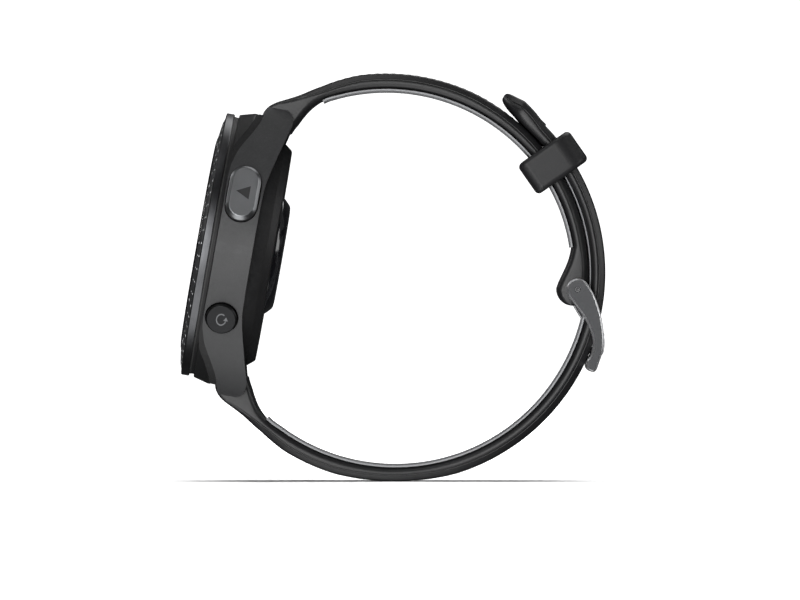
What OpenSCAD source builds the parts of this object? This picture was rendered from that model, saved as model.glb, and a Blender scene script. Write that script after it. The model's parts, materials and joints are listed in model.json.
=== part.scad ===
// GPS running watch with a round case, five push buttons and a silicone strap closed into a loop.
// Millimetres. The watch stands on its strap loop, +Z up, the 3 o'clock side toward -Y.
// Inside most modules the head's own axes are used: X runs from the face to the back,
// Z toward 12 o'clock, and Y away from the 3 o'clock side. One lean and one lift then stand it up.

/* [Stance] */
// How far the face leans back from upright, degrees
lean = 10; // [4:1:16]

/* [Head] */
// Outer radius of the round case at its widest
case_radius = 23.6; // [23.2:0.1:23.9]
// Outer radius of the bezel
bezel_radius = 22.75; // [22.3:0.05:23]
// Thickness from the crystal to the flat of the back cover
head_thickness = 13.2; // [13:0.1:13.8]
// Height of the sensor window above the flat of the back cover
sensor_rise = 1.5; // [1:0.1:2]
// Radius of the crystal
crystal_radius = 18.6; // [18.4:0.1:18.8]
// How far a push button travels
button_travel = 0.6; // [0.3:0.1:0.7]
// Half width of the head across its outermost push buttons
button_reach = 24.6; // [24.2:0.1:25.2]

/* [Strap] */
// Width of the strap
strap_width = 22; // [20:0.5:22]
// Outer radius of the closed strap loop
loop_radius = 35.7; // [35.4:0.1:36]
// Thickness of the dark strap body along the wrist
strap_thickness = 2.45; // [2.3:0.05:2.5]
// Thickness of the strap body where the two halves lie on each other
tail_thickness = 2.25; // [2.1:0.05:2.3]
// Thickness of the pale inner skin
liner_thickness = 0.25; // [0.2:0.05:0.3]
// Angle between two adjusting slots, degrees
slot_pitch = 13.8; // [12:0.2:16]
// Number of adjusting slots before the buckle
slots_before_buckle = 5; // [3:1:6]
// Number of adjusting slots in the tail
slots_in_tail = 3; // [1:1:3]

/* [Buckle] */
// Length of the keeper along the strap
keeper_length = 6.2; // [5:0.2:6.6]
// Thickness of one buckle arm
arm_thickness = 1.6; // [1.2:0.1:1.8]
// Width of the buckle tongue
tongue_width = 2.2; // [1.8:0.1:2.4]

/* [Hidden] */
$fn = 96;
slack = 0.05;
beyond = 1;

// Head
panel_curve = 31.2;
panel_shift = case_radius - panel_curve;
lug_reach = 25.4;
lug_tip_half = 13.1;
lug_flare = 29.6;
rim_front = 2.75;
rim_back = 6.9;
rim_shelf = 20.9;
cavity_radius = 19.4;
rebate_radius = 20.4;
rebate_depth = 9;
cover_rim = 9.4;
cover_floor = head_thickness - 1.1;
screw_circle = 16.9;
post_radius = 1.05;
window_radius = 10.1;
board_front = 3.9;
board_back = 4.5;
chip_height = 0.7;
cell_front = 5.7;
cell_back = 9.2;

// Buttons
button_depth = 6.45;
oblong_angle = 17.6;
round_angle = 22.4;
oblong_length = 9.7;
oblong_width = 5.35;
round_radius = 2.65;
cap_bevel = 0.5;
cap_gap = 0.14;
cap_base = panel_curve - 1.1;
pocket_floor = cap_base - button_travel - 4 * slack;
stem_radius = 1.2;
stem_end = 25.6;
seat_level = 26.9;
spring_radius = 1.6;
spring_well = 1.95;
well_top = panel_curve - 0.1;
seal_level = 28;
seal_wire = 0.17;
round_top = button_reach - panel_shift;
oblong_top = (round_top - (oblong_length / 2 - cap_bevel) * sin(oblong_angle)) / cos(oblong_angle);

// Loop: two circles that touch where the halves start to lie on each other
loop_x = 34.2;
loop_z = 0.8;
meet_angle = 49.8;
overlap_gap = 0.15;
tail_inner = loop_radius - tail_thickness - liner_thickness;
inner_half_radius = tail_inner - overlap_gap;
top_shift = 2;
top_radius = inner_half_radius + top_shift;
top_x = loop_x - top_shift * cos(meet_angle);
top_z = loop_z - top_shift * sin(meet_angle);
upper_start = 115.6;
lower_start = -117.5;
buckle_angle = 4.7;
pin_circle = loop_radius - 4.42;
tail_start = buckle_angle - 6.2;
tail_end = 54;
tip_angle = 68.4;
tip_corner = 4.2;
upper_thickness = 2.4;
liner_bulge = 0.2;
liner_seam = 0.2;
slot_angle = buckle_angle - 8.9;
slot_length = 5;
slot_width = tongue_width + 0.6;
keeper_angle = 44.9;

// Lug bars
bar_x = 9.9;
bar_z = 23;
bar_hole = 0.95;
tip_radius = 0.45;
lug_face = strap_width / 2 + 0.25;
bar_reach = lug_face + 1.35;
tube_half = 10.4;
tube_bore_end = 7;
tip_inner_end = -6;
lever_place = -9;
lever_radius = 0.38;
tip_draw = 1.6;
lever_middle = lever_place + tip_draw / 2;
lever_run = tip_draw + 2 * lever_radius;

// Buckle
pin_radius = 0.9;
pin_tip_radius = 0.45;
arm_face = strap_width / 2 + 0.35;

// Where the head stands above the floor, so that the loop just touches it
loop_height = loop_x * -sin(lean) + loop_z * cos(lean);
lift = loop_radius - loop_height;
bezel_front = [
  [crystal_radius + slack, 0.3], [20, 0.5], [21, 0.65], [bezel_radius - 0.1, 1.3], [bezel_radius, 1.45]
];
tongue_outline = [
  [-1.7, 0.1], [-1.68, -0.9], [-1.2, -2], [-0.32, -2.99], [1.17, -4.96], [2.6, -6.2], [3.95, -7.3],
  [4.5, -8.1], [4.78, -9.2], [4.75, -10.6], [5.3, -10.75], [5.55, -10.2], [5.62, -9.2], [5.6, -8],
  [5.3, -7], [3.9, -5.75], [1.95, -4.05], [1.1, -2.9], [0.8, -1.9], [1, -1.3]
];
left_edge = min([for (p = bezel_front) p[1] * cos(lean) - p[0] * sin(lean)]);
pin_lean = buckle_angle - lean;
right_reach = max([for (p = tongue_outline) (pin_circle + p[0]) * cos(pin_lean) - p[1] * sin(pin_lean)]);
right_edge = loop_x * cos(lean) + loop_z * sin(lean) + right_reach;
shift = -(right_edge + left_edge) / 2;

// Colours
case_grey = [0.27, 0.28, 0.29];
bezel_steel = [0.2, 0.2, 0.22];
glass_tint = [0.1, 0.11, 0.12];
cover_black = [0.13, 0.13, 0.14];
seal_black = [0.06, 0.06, 0.06];
steel = [0.7, 0.7, 0.72];
gold = [0.83, 0.68, 0.35];
board_green = [0.08, 0.26, 0.16];
chip_black = [0.1, 0.1, 0.11];
ribbon_amber = [0.6, 0.36, 0.12];
cell_silver = [0.62, 0.63, 0.66];
strap_black = [0.15, 0.15, 0.16];
liner_grey = [0.6, 0.61, 0.63];
buckle_grey = [0.32, 0.32, 0.33];

// ---- placing ----

// Stands a piece drawn in the head's axes on the floor
module stand() {
  translate([shift, 0, lift])
    rotate([0, lean, 0])
      children();
}

// Turns a [radius, depth] outline about the head's axis
module turned() {
  rotate([0, 90, 0])
    rotate_extrude()
      children();
}

// A side view shape, [depth, height], given a width across the strap
module across(width) {
  rotate([90, 0, 0])
    linear_extrude(width, center = true)
      children();
}

// A front view shape, [y, height], from one depth to another
module through(from, to) {
  translate([from, 0, 0])
    rotate([90, 0, 90])
      linear_extrude(to - from)
        children();
}

// A round rod along the depth
module rod(r, from, to, y = 0, z = 0) {
  translate([from, y, z])
    rotate([0, 90, 0])
      cylinder(r = r, h = to - from);
}

// A block given by its lowest and highest corners
module block(low, high) {
  translate(low)
    cube(high - low);
}

// Axes of a push button: Z out of the case, X along the depth. side is -1 at 3 o'clock, 1 at 9 o'clock
module at_button(side, angle) {
  translate([button_depth, side * panel_shift, 0])
    rotate([-side * (90 - angle), 0, 0])
      children();
}

// Axes on the strap loop: X outward from its middle, Z along the strap toward the tail
module at_loop(angle, radius = 0) {
  translate([loop_x, 0, loop_z])
    rotate([0, -angle, 0])
      translate([radius, 0, 0])
        children();
}

// A length of strap with the given section, [radius, y]
module bent(x, z, from, to, section) {
  translate([x, 0, z])
    rotate([90, 0, 0])
      rotate_extrude(angle = to - from, start = from, $fn = 180)
        polygon(section);
}

function polar(points) = [for (p = points) [p[1] * cos(p[0]), p[1] * sin(p[0])]];

// ---- head, outside ----

// Outline of the case seen from the front, [y, height]
module case_plan() {
  intersection() {
    translate([panel_shift, 0])
      circle(panel_curve, $fn = 180);
    translate([-panel_shift, 0])
      circle(panel_curve, $fn = 180);
    polygon([
      [lug_flare, 0], [lug_tip_half, lug_reach], [-lug_tip_half, lug_reach],
      [-lug_flare, 0], [-lug_tip_half, -lug_reach], [lug_tip_half, -lug_reach]
    ]);
  }
}

// Half outline of the side panel and lug, [depth, height]
panel_half = [
  [3.4, 0], [3.4, 13], [3.75, 15], [4.2, 16.5], [4.95, 18], [6.1, 20], [7.1, 22], [7.65, 24], [8.1, 25],
  [9, 25.35], [9.8, 25.4], [11, 25], [12.1, 24.1], [12.55, 22.6], [12.2, 21], [11.4, 18], [10.9, 16],
  [10.4, 14], [10, 12], [9.8, 10], [9.7, 5], [9.7, 0]
];

module case_blank() {
  intersection() {
    through(0, head_thickness)
      case_plan();
    across(4 * case_radius)
      union() {
        polygon(panel_half);
        mirror([0, 1])
          polygon(panel_half);
      }
  }
  turned()
    polygon([
      [cavity_radius - beyond, rim_front], [22.7, rim_front], [case_radius, 5.7],
      [case_radius, 6.3], [23.2, rim_back], [rim_shelf, rim_back], [rim_shelf, rebate_depth],
      [cavity_radius - beyond, rebate_depth]
    ]);
}

module screw_post(angle) {
  rotate([angle, 0, 0]) {
    rod(post_radius, 5.2, cover_floor - 0.9, 0, screw_circle);
    block([5.2, -0.6, screw_circle + 0.5], [8.8, 0.6, cavity_radius + 0.3]);
  }
}

module lug_bar_holes(r, from, to) {
  for (end = [-1, 1], side = [-1, 1])
    translate([bar_x, side * (from + to) / 2, end * bar_z])
      rotate([90, 0, 0])
        cylinder(r = r, h = to - from, center = true);
}

module stadium(length, r) {
  square([2 * r, length - 2 * r], center = true);
  for (end = [-1, 1])
    translate([0, end * (length / 2 - r)])
      circle(r);
}

module button_opening(side, angle, oblong) {
  at_button(side, angle) {
    translate([0, 0, pocket_floor])
      linear_extrude(4)
        if (oblong)
          stadium(oblong_length + 2 * cap_gap, oblong_width / 2 + cap_gap);
        else
          circle(round_radius + cap_gap);
    translate([0, 0, stem_end])
      cylinder(r = stem_radius + slack, h = panel_curve - stem_end);
    translate([0, 0, stem_end - beyond])
      cylinder(r = 2.4, h = seat_level - stem_end + beyond);
  }
}

module case_body() {
  color(case_grey)
    stand() {
      difference() {
        case_blank();
        turned()
          polygon([
            [0, 0], [cavity_radius, 0], [cavity_radius, rebate_depth],
            [rebate_radius, rebate_depth], [rebate_radius, head_thickness + beyond],
            [0, head_thickness + beyond]
          ]);
        turned()
          polygon([[0, 0], [21.3, 0], [21.3, 3.1], [0, 3.1]]);
        for (end = [-1, 1])
          translate([rim_back + 4, 0, end * (rim_shelf + 4)])
            cube([8, 2 * lug_face, 8], center = true);
        button_opening(-1, oblong_angle, true);
        button_opening(-1, -round_angle, false);
        button_opening(1, round_angle, false);
        button_opening(1, 0, false);
        button_opening(1, -round_angle, false);
        lug_bar_holes(tip_radius + slack, lug_face - beyond, lug_face + 1.5);
      }
      for (angle = [45, 135, 225, 315])
        difference() {
          screw_post(angle);
          rotate([angle, 0, 0])
            rod(0.5, 8, head_thickness, 0, screw_circle);
        }
    }
}

module bezel() {
  color(bezel_steel)
    stand()
      turned()
        polygon(concat(bezel_front, [
          [bezel_radius, 2.45], [21.2, 2.45], [21.2, 3], [19.8, 3],
          [19.8, 2.6], [17.6, 2.6], [17.6, 1.6], [crystal_radius + slack, 1.6]
        ]));
}

module crystal() {
  color(glass_tint, 0.55)
    stand()
      turned()
        polygon([[0, 0], [16, 0], [17.6, 0.08], [crystal_radius, 0.3], [crystal_radius, 1.55], [0, 1.55]]);
}

module bezel_gasket() {
  color(seal_black)
    stand()
      turned()
        polygon([[21.45, 2.45], [22.35, 2.45], [22.35, rim_front], [21.45, rim_front]]);
}

module charge_cutout(grow, from, to) {
  through(from, to)
    translate([0, -14.1])
      square([7.6 + 2 * grow, 3.8 + 2 * grow], center = true);
}

module back_cover() {
  color(cover_black)
    stand()
      difference() {
        turned()
          polygon([
            [18.4, cover_rim], [20.2, cover_rim], [20.2, 9.9], [19.2, 12], [18.2, head_thickness],
            [window_radius + slack, head_thickness], [window_radius + slack, head_thickness - 0.5],
            [9, head_thickness - 0.5], [9, cover_floor], [17.3, cover_floor], [18.1, 11.2]
          ]);
        for (angle = [45, 135, 225, 315])
          rotate([angle, 0, 0]) {
            rod(0.6, cover_floor - beyond, head_thickness + beyond, 0, screw_circle);
            rod(1, head_thickness - 0.75, head_thickness + beyond, 0, screw_circle);
          }
        charge_cutout(0, cover_floor - beyond, head_thickness + beyond);
        rod(0.4, cover_floor - beyond, head_thickness + beyond, 12.6, -5);
      }
}

module back_gasket() {
  color(seal_black)
    stand()
      turned()
        polygon([[19.55, rebate_depth], [20.1, rebate_depth], [20.1, cover_rim], [19.55, cover_rim]]);
}

module back_screws() {
  color(steel)
    stand()
      for (angle = [45, 135, 225, 315])
        rotate([angle, 0, 0])
          difference() {
            union() {
              rod(0.48, 8.6, head_thickness - 0.4, 0, screw_circle);
              rod(0.92, head_thickness - 0.74, head_thickness - 0.05, 0, screw_circle);
            }
            translate([head_thickness - 0.35, 0, screw_circle])
              rotate([90, 0, 90])
                cylinder(r = 0.42, h = 1, $fn = 6);
          }
}

module sensor_window() {
  top = head_thickness + sensor_rise;
  color(cover_black)
    stand()
      turned()
        polygon([
          [0, top], [7.4, top], [8.2, top - 0.06], [8.9, top - 0.2], [9.3, top - 0.55],
          [window_radius, head_thickness + 0.1], [window_radius, head_thickness - 0.45],
          [8.95, head_thickness - 0.45], [8.95, head_thickness - 1], [8.3, head_thickness - 1],
          [8.3, top - 0.8], [0, top - 0.8]
        ]);
}

module charge_socket() {
  color(chip_black)
    stand()
      difference() {
        charge_cutout(-0.06, cover_floor - 0.6, head_thickness - 0.05);
        charge_cutout(-0.7, head_thickness - 0.9, head_thickness + beyond);
        contact_blocks();
      }
}

module contact_blocks() {
  for (i = [-1.5, -0.5, 0.5, 1.5])
    translate([cover_floor - 0.75, i * 1.4 - 0.35, -15])
      cube([1.3, 0.7, 1.8]);
}

module charge_contacts() {
  color(gold)
    stand()
      contact_blocks();
}

// ---- head, inside ----

module display_panel() {
  color(chip_black)
    stand() {
      rod(17.3, 1.6, 2.55);
      block([1.7, -4, -17], [2.55, 4, -16]);
    }
}

module display_carrier() {
  color(cover_black)
    stand()
      difference() {
        turned()
          polygon([
            [0, 2.7], [17.3, 2.7], [17.3, 3.15], [19.2, 3.15],
            [19.2, 3.8], [18.4, 3.8], [18.4, 3.5], [0, 3.5]
          ]);
        block([2, -4.2, -17.6], [4, 4.2, -15]);
        through(2, 4)
          square([14, 12], center = true);
      }
}

module main_board() {
  color(board_green)
    stand()
      difference() {
        rod(18.3, board_front, board_back);
        for (y = [-17, 17])
          rod(1.6, 3, 6, y, 0);
      }
}

// Chips on the main board, as [y, height, size]
chips = [[-9, 7, 4], [-10.5, -1, 3], [-9, -8, 2.6], [2, -13.4, 3.2], [9.5, -8, 2.2], [11.5, 8.5, 2.4]];

module board_chips() {
  color(chip_black)
    stand()
      for (p = chips)
        translate([board_back + chip_height / 2, p[0], p[1]])
          cube([chip_height, p[2], p[2]], center = true);
}

module shield_can() {
  color(steel)
    stand()
      difference() {
        block([board_back, -6.5, -6.5], [5.5, 7.5, 8]);
        block([4, -6.3, -6.3], [5.3, 7.3, 7.8]);
      }
}

module battery() {
  color(cell_silver)
    stand()
      difference() {
        union() {
          rod(15.5, cell_front, cell_back);
          block([5.9, -3, 14.5], [8.6, 3, 15.8]);
        }
        block([5, -20, -20], [10, 20, -8.2]);
      }
}

module vibration_motor() {
  color(steel)
    stand() {
      rod(3.3, 5.8, 8.6, 0, -12.1);
      rod(0.7, 8.6, 8.9, 0, -12.1);
    }
}

module sounder() {
  color(gold)
    stand() {
      rod(3.3, cover_floor - 0.25, cover_floor, 0, 13.4);
      rod(2.4, cover_floor - 0.5, cover_floor - 0.25, 0, 13.4);
    }
}

module aerial_ring() {
  color(steel)
    stand()
      difference() {
        turned()
          polygon([[18.6, 3.8], [19.15, 3.8], [19.15, 4.4], [18.9, 4.4], [18.9, 4], [18.6, 4]]);
        block([3, -0.6, 15], [5, 0.6, 20]);
      }
}

module sensor_board() {
  color(board_green)
    stand()
      rod(8.1, head_thickness - 0.6, head_thickness - 0.1);
}

// Light sources and receivers behind the window, as [y, height, size]
sensor_dice = [
  [0, 0, 2.6], [0, 4.2, 1.6], [0, -4.2, 1.6], [4.4, 0, 1.8], [-4.4, 0, 1.8], [3.6, 3.8, 1], [-3.6, 3.8, 1]
];

module sensor_optics() {
  color(steel)
    stand()
      for (p = sensor_dice)
        translate([head_thickness + 0.2, p[0], p[1]])
          cube([0.6, p[2], p[2]], center = true);
}

module display_ribbon() {
  color(ribbon_amber)
    stand() {
      block([2.55, -3.4, -17], [2.67, 3.4, -15.6]);
      block([2.67, -3.4, -15.75], [board_front, 3.4, -15.6]);
    }
}

module sensor_ribbon() {
  color(ribbon_amber)
    stand() {
      block([board_back, -2, 17], [11.3, 2, 17.12]);
      block([11.18, -2, 7], [11.3, 2, 17]);
      block([11.3, -2, 7], [head_thickness - 0.6, 2, 7.12]);
    }
}

module key_ribbon() {
  color(ribbon_amber)
    stand()
      for (side = [0, 180])
        rotate([side, 0, 0])
          rotate([0, 90, 0])
            translate([0, 0, 5.4])
              rotate_extrude(angle = 74, start = 53)
                polygon([[16.1, 0], [16.25, 0], [16.25, 2.2], [16.1, 2.2]]);
}

module pressure_vent() {
  color(seal_black)
    stand()
      rod(1.1, cover_floor - 0.2, cover_floor, 12.6, -5);
}

module key_switch(side, angle) {
  at_button(side, angle) {
    translate([-1.5, -1.5, 24])
      cube([3, 3, 0.55]);
    translate([0, 0, 24.55])
      cylinder(r1 = 1.2, r2 = 0.7, h = 0.4);
  }
}

module key_switches() {
  color(steel)
    stand() {
      key_switch(-1, oblong_angle);
      key_switch(-1, -round_angle);
      key_switch(1, round_angle);
      key_switch(1, 0);
      key_switch(1, -round_angle);
    }
}

// ---- push buttons ----

module stem() {
  rotate_extrude()
    polygon([
      [0, stem_end], [stem_radius, stem_end], [stem_radius, seat_level - 0.55],
      [0.8, seat_level - 0.55], [0.8, seat_level - 0.15], [stem_radius, seat_level - 0.15],
      [stem_radius, seal_level - 0.25], [0.85, seal_level - 0.25], [0.85, seal_level + 0.25],
      [stem_radius, seal_level + 0.25], [stem_radius, well_top + 0.2], [0, well_top + 0.2]
    ]);
}

module round_cap(top) {
  difference() {
    rotate_extrude()
      polygon([
        [0, cap_base], [round_radius, cap_base], [round_radius, top - cap_bevel],
        [round_radius - cap_bevel, top], [0, top]
      ]);
    translate([0, 0, cap_base - beyond])
      cylinder(r = spring_well, h = well_top - cap_base + beyond);
  }
}

module oblong_cap(top) {
  half = oblong_width / 2;
  run = oblong_length - oblong_width;
  section = [[half, cap_base], [half, top - cap_bevel], [half - cap_bevel, top]];
  difference() {
    union() {
      for (end = [-1, 1])
        translate([0, end * run / 2, 0])
          rotate_extrude()
            polygon(concat([[0, top], [0, cap_base]], section));
      rotate([90, 0, 0])
        linear_extrude(run, center = true)
          polygon([
            [half, cap_base], [half, top - cap_bevel], [half - cap_bevel, top],
            [cap_bevel - half, top], [-half, top - cap_bevel], [-half, cap_base]
          ]);
    }
    translate([0, 0, cap_base - beyond])
      cylinder(r = spring_well, h = well_top - cap_base + beyond);
  }
}

// Play and pause marks cut into the oblong cap
module start_marks(top) {
  translate([0, 0, top - 0.12]) {
    translate([0, 0.9, 0])
      linear_extrude(1)
        polygon([[-0.95, -0.35], [0.95, -0.35], [0, 1.45]]);
    for (i = [-1, 1])
      translate([i * 0.5 - 0.25, -1.7, 0])
        cube([0.5, 1.6, 1]);
  }
}

// A loop arrow cut into the round cap
module return_marks(top) {
  translate([0, 0, top - 0.12])
    linear_extrude(1) {
      difference() {
        circle(1.15);
        circle(0.85);
        translate([0, -2])
          square([2, 2]);
      }
      polygon([[0.55, 0], [1.45, 0], [1, -0.75]]);
    }
}

module start_button() {
  color(buckle_grey)
    stand()
      at_button(-1, oblong_angle) {
        difference() {
          oblong_cap(oblong_top);
          start_marks(oblong_top);
        }
        stem();
      }
}

module round_button(side, angle) {
  color(buckle_grey)
    stand()
      at_button(side, angle) {
        round_cap(round_top);
        stem();
      }
}

module back_button() {
  color(buckle_grey)
    stand()
      at_button(-1, -round_angle) {
        difference() {
          round_cap(round_top);
          return_marks(round_top);
        }
        stem();
      }
}

module light_button() {
  round_button(1, round_angle);
}

module up_button() {
  round_button(1, 0);
}

module down_button() {
  round_button(1, -round_angle);
}

// A coil of wire along Z
module coil(r, wire, height, turns) {
  spread = 360 * wire / (height / turns);
  linear_extrude(height - wire, twist = -360 * turns, slices = turns * 10, $fn = 8)
    polygon([
      for (i = [0:3]) [(r + wire / 2) * cos(i * spread / 3), (r + wire / 2) * sin(i * spread / 3)],
      for (i = [3:-1:0]) [(r - wire / 2) * cos(i * spread / 3), (r - wire / 2) * sin(i * spread / 3)]
    ]);
}

module button_spring(side, angle) {
  color(steel)
    stand()
      at_button(side, angle)
        translate([0, 0, pocket_floor + slack])
          coil(spring_radius, 0.25, well_top - pocket_floor - 2 * slack, 3);
}

module start_spring() {
  button_spring(-1, oblong_angle);
}

module back_spring() {
  button_spring(-1, -round_angle);
}

module light_spring() {
  button_spring(1, round_angle);
}

module up_spring() {
  button_spring(1, 0);
}

module down_spring() {
  button_spring(1, -round_angle);
}

module button_seal(side, angle) {
  color(seal_black)
    stand()
      at_button(side, angle)
        translate([0, 0, seal_level])
          rotate_extrude()
            translate([0.85 + seal_wire, 0])
              circle(seal_wire, $fn = 24);
}

module start_seal() {
  button_seal(-1, oblong_angle);
}

module back_seal() {
  button_seal(-1, -round_angle);
}

module light_seal() {
  button_seal(1, round_angle);
}

module up_seal() {
  button_seal(1, 0);
}

module down_seal() {
  button_seal(1, -round_angle);
}

module button_clip(side, angle) {
  color(steel)
    stand()
      at_button(side, angle)
        translate([0, 0, seat_level - 0.5])
          difference() {
            cylinder(r = 1.9, h = 0.3);
            translate([0, 0, -beyond])
              cylinder(r = 0.82, h = 3);
            translate([-0.7, 0, -beyond])
              cube([1.4, 3, 3]);
          }
}

module start_clip() {
  button_clip(-1, oblong_angle);
}

module back_clip() {
  button_clip(-1, -round_angle);
}

module light_clip() {
  button_clip(1, round_angle);
}

module up_clip() {
  button_clip(1, 0);
}

module down_clip() {
  button_clip(1, -round_angle);
}

// ---- strap ----

// Section of the strap body, [radius, y], bevelled outside and eased inside
function strap_section(r, t) = [
  for (s = [-1, 1])
    for (p = s < 0
      ? [[t, 0.3], [t - 0.3, 0], [1, 0], [0.12, 0.75], [0, 1.2]]
      : [[0, 1.2], [0.12, 0.75], [1, 0], [t - 0.3, 0], [t, 0.3]])
      [r - p[0], s * (strap_width / 2 - p[1])]
];

// Section of the pale skin, thicker in the middle by the bulge
function liner_section(r, bulge) = [
  [r, -strap_width / 2 + 0.25], [r, strap_width / 2 - 0.25], [r - liner_thickness, strap_width / 2 - 0.35],
  [r - liner_thickness - bulge, strap_width / 2 - 3], [r - liner_thickness - bulge, 3 - strap_width / 2],
  [r - liner_thickness, 0.35 - strap_width / 2]
];

// The thick end of a strap half that fills the gap between two lugs, [depth, height]
root_outline = [
  [7.15, 22.6], [7.35, 24], [8, 25], [8.7, 25.6], [9.5, 26.1], [10.3, 26.5], [12, 27.35],
  [13.3, 28.1], [15, 29.2], [16.4, 30.02], [17.77, 30.88], [19, 31.4], [17.9, 28.9],
  [16.75, 27.6], [15.9, 26.8], [14.9, 25.6], [14, 24.1], [13.4, 22.9], [12.75, 21.7],
  [12.3, 21.05], [8.8, 21.05]
];

module root_block(end) {
  difference() {
    across(strap_width)
      scale([1, end])
        polygon(root_outline);
    translate([bar_x, 0, end * bar_z])
      rotate([90, 0, 0])
        cylinder(r = bar_hole, h = 2 * strap_width, center = true);
    translate([bar_x + 2, lever_middle, end * (bar_z - 0.3)])
      cube([4.4, lever_run + 1, 1.9], center = true);
  }
}

module upper_strap() {
  color(strap_black)
    stand()
      difference() {
        union() {
          root_block(1);
          bent(top_x, top_z, meet_angle, upper_start + 0.5, strap_section(top_radius, upper_thickness));
          bent(loop_x, loop_z, buckle_angle + 8, meet_angle,
            strap_section(inner_half_radius, upper_thickness));
          intersection() {
            at_loop(buckle_angle, 0)
              across(strap_width)
                union() {
                  translate([pin_circle - 0.62, 0])
                    circle(2.85);
                  translate([pin_circle, 0])
                    polygon([[-3.3, 0.9], [-1.65, 5.9], [0.6, 6.4], [2.4, 0]]);
                }
            translate([loop_x, 0, loop_z])
              rotate([90, 0, 0])
                cylinder(r = inner_half_radius, h = 2 * strap_width, center = true, $fn = 180);
          }
        }
        at_loop(buckle_angle, pin_circle) {
          rotate([90, 0, 0])
            cylinder(r = pin_radius + slack, h = 2 * strap_width, center = true);
          block([-3.6, -tongue_width / 2 - 0.25, -4], [3.5, tongue_width / 2 + 0.25, 2.05]);
        }
      }
}

module upper_liner() {
  color(liner_grey)
    stand() {
      bent(top_x, top_z, meet_angle, upper_start - 0.4,
        liner_section(top_radius - upper_thickness, liner_bulge));
      bent(loop_x, loop_z, buckle_angle + 13.5, meet_angle - liner_seam,
        liner_section(inner_half_radius - upper_thickness, liner_bulge));
    }
}

module slots(from, to) {
  for (i = [from:to])
    at_loop(slot_angle + i * slot_pitch, loop_radius)
      rotate([0, 90, 0])
        linear_extrude(8, center = true)
          stadium_across(slot_length, slot_width / 2);
}

module stadium_across(length, r) {
  square([length - 2 * r, 2 * r], center = true);
  for (end = [-1, 1])
    translate([end * (length / 2 - r), 0])
      circle(r, $fn = 32);
}

// The thickened end of the tail, [angle, radius] about the middle of the loop
tip_outline = [
  [tail_end - 0.5, loop_radius], [57, loop_radius + 0.3], [60, loop_radius + 0.6], [63.4, loop_radius + 0.8],
  [66, loop_radius + 0.6], [67.9, loop_radius + 0.3], [tip_angle, loop_radius - 0.2],
  [tip_angle - 0.1, loop_radius - 0.8], [67.6, loop_radius - 1.3], [65, loop_radius - 1.7],
  [62, loop_radius - 2], [59.5, loop_radius - 2.15], [tail_end - 0.5, loop_radius - tail_thickness]
];

module tail_tip() {
  intersection() {
    translate([loop_x, 0, loop_z])
      across(strap_width)
        polygon(polar(tip_outline));
    at_loop(tip_angle - 5, loop_radius)
      rotate([0, 90, 0])
        linear_extrude(20, center = true)
          translate([tip_corner, 0])
            union() {
              square([2 * tip_corner + 12, strap_width - 2 * tip_corner], center = true);
              translate([6, 0])
                square([12, strap_width], center = true);
              for (side = [-1, 1])
                translate([0, side * (strap_width / 2 - tip_corner)])
                  circle(tip_corner);
            }
  }
}

// Small raised stop that keeps the keeper on the tail
module tail_stop() {
  at_loop(tail_end + 2.6, loop_radius + 0.2)
    across(6)
      polygon([[-0.6, -1.1], [0.2, -1], [0.38, -0.6], [0.45, 0.7], [0.2, 1.1], [-0.6, 1.3]]);
}

module lower_strap() {
  color(strap_black)
    stand()
      difference() {
        union() {
          root_block(-1);
          bent(loop_x, loop_z, lower_start - 0.5, tail_start, strap_section(loop_radius, strap_thickness));
          bent(loop_x, loop_z, tail_start, tail_end, strap_section(loop_radius, tail_thickness));
          tail_tip();
          tail_stop();
        }
        slots(-slots_before_buckle, slots_in_tail);
      }
}

module lower_liner() {
  color(liner_grey)
    stand()
      difference() {
        union() {
          bent(loop_x, loop_z, lower_start + 0.4, tail_start,
            liner_section(loop_radius - strap_thickness, liner_bulge));
          bent(loop_x, loop_z, tail_start, tail_end - 0.5,
            liner_section(loop_radius - tail_thickness, 0));
        }
        slots(-slots_before_buckle, slots_in_tail);
      }
}

module keeper() {
  inner = inner_half_radius - upper_thickness - liner_thickness - liner_bulge - 0.25;
  outer = loop_radius + 0.25;
  half = strap_width / 2 + 0.3;
  color(strap_black)
    stand()
      difference() {
        at_loop(keeper_angle, (inner + outer) / 2)
          across(strap_width + 3.6)
            rounded(outer - inner + 4.5, keeper_length, 0.9);
        bent(loop_x, loop_z, keeper_angle - 12, keeper_angle + 12,
          [[inner, -half], [inner, half], [outer, half], [outer, -half]]);
      }
}

module rounded(x, y, r) {
  square([x - 2 * r, y], center = true);
  square([x, y - 2 * r], center = true);
  for (i = [-1, 1], j = [-1, 1])
    translate([i * (x / 2 - r), j * (y / 2 - r)])
      circle(r, $fn = 32);
}

// ---- buckle, drawn about its pin: X outward from the loop, Z up along the strap ----

arm_outline = [
  [1.27, 1.41], [2.4, 0.1], [3.1, -1.05], [3.7, -2.3], [4.3, -3.8], [4.72, -5.25], [5.05, -6.7],
  [5.28, -8.3], [5.3, -9.7], [5.12, -10.8], [4.82, -12], [4.45, -13.35], [3.9, -13.8],
  [3.2, -13.6], [2.72, -13], [2.66, -12], [3.2, -11.1],
  [3.42, -10], [3.4, -8.7], [3.15, -7.6], [2.7, -6.6], [1.9, -5.2], [0.75, -3.7], [-0.37, -2.5], [-1.4, -1.3]
];

bar_outline = [
  [3.42, -10], [3.8, -9.5], [4.8, -9.5], [5.3, -9.9], [5.12, -10.8], [4.82, -12],
  [4.45, -13.35], [3.9, -13.8], [3.2, -13.6], [2.72, -13], [2.66, -12], [3.2, -11.1]
];

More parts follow.
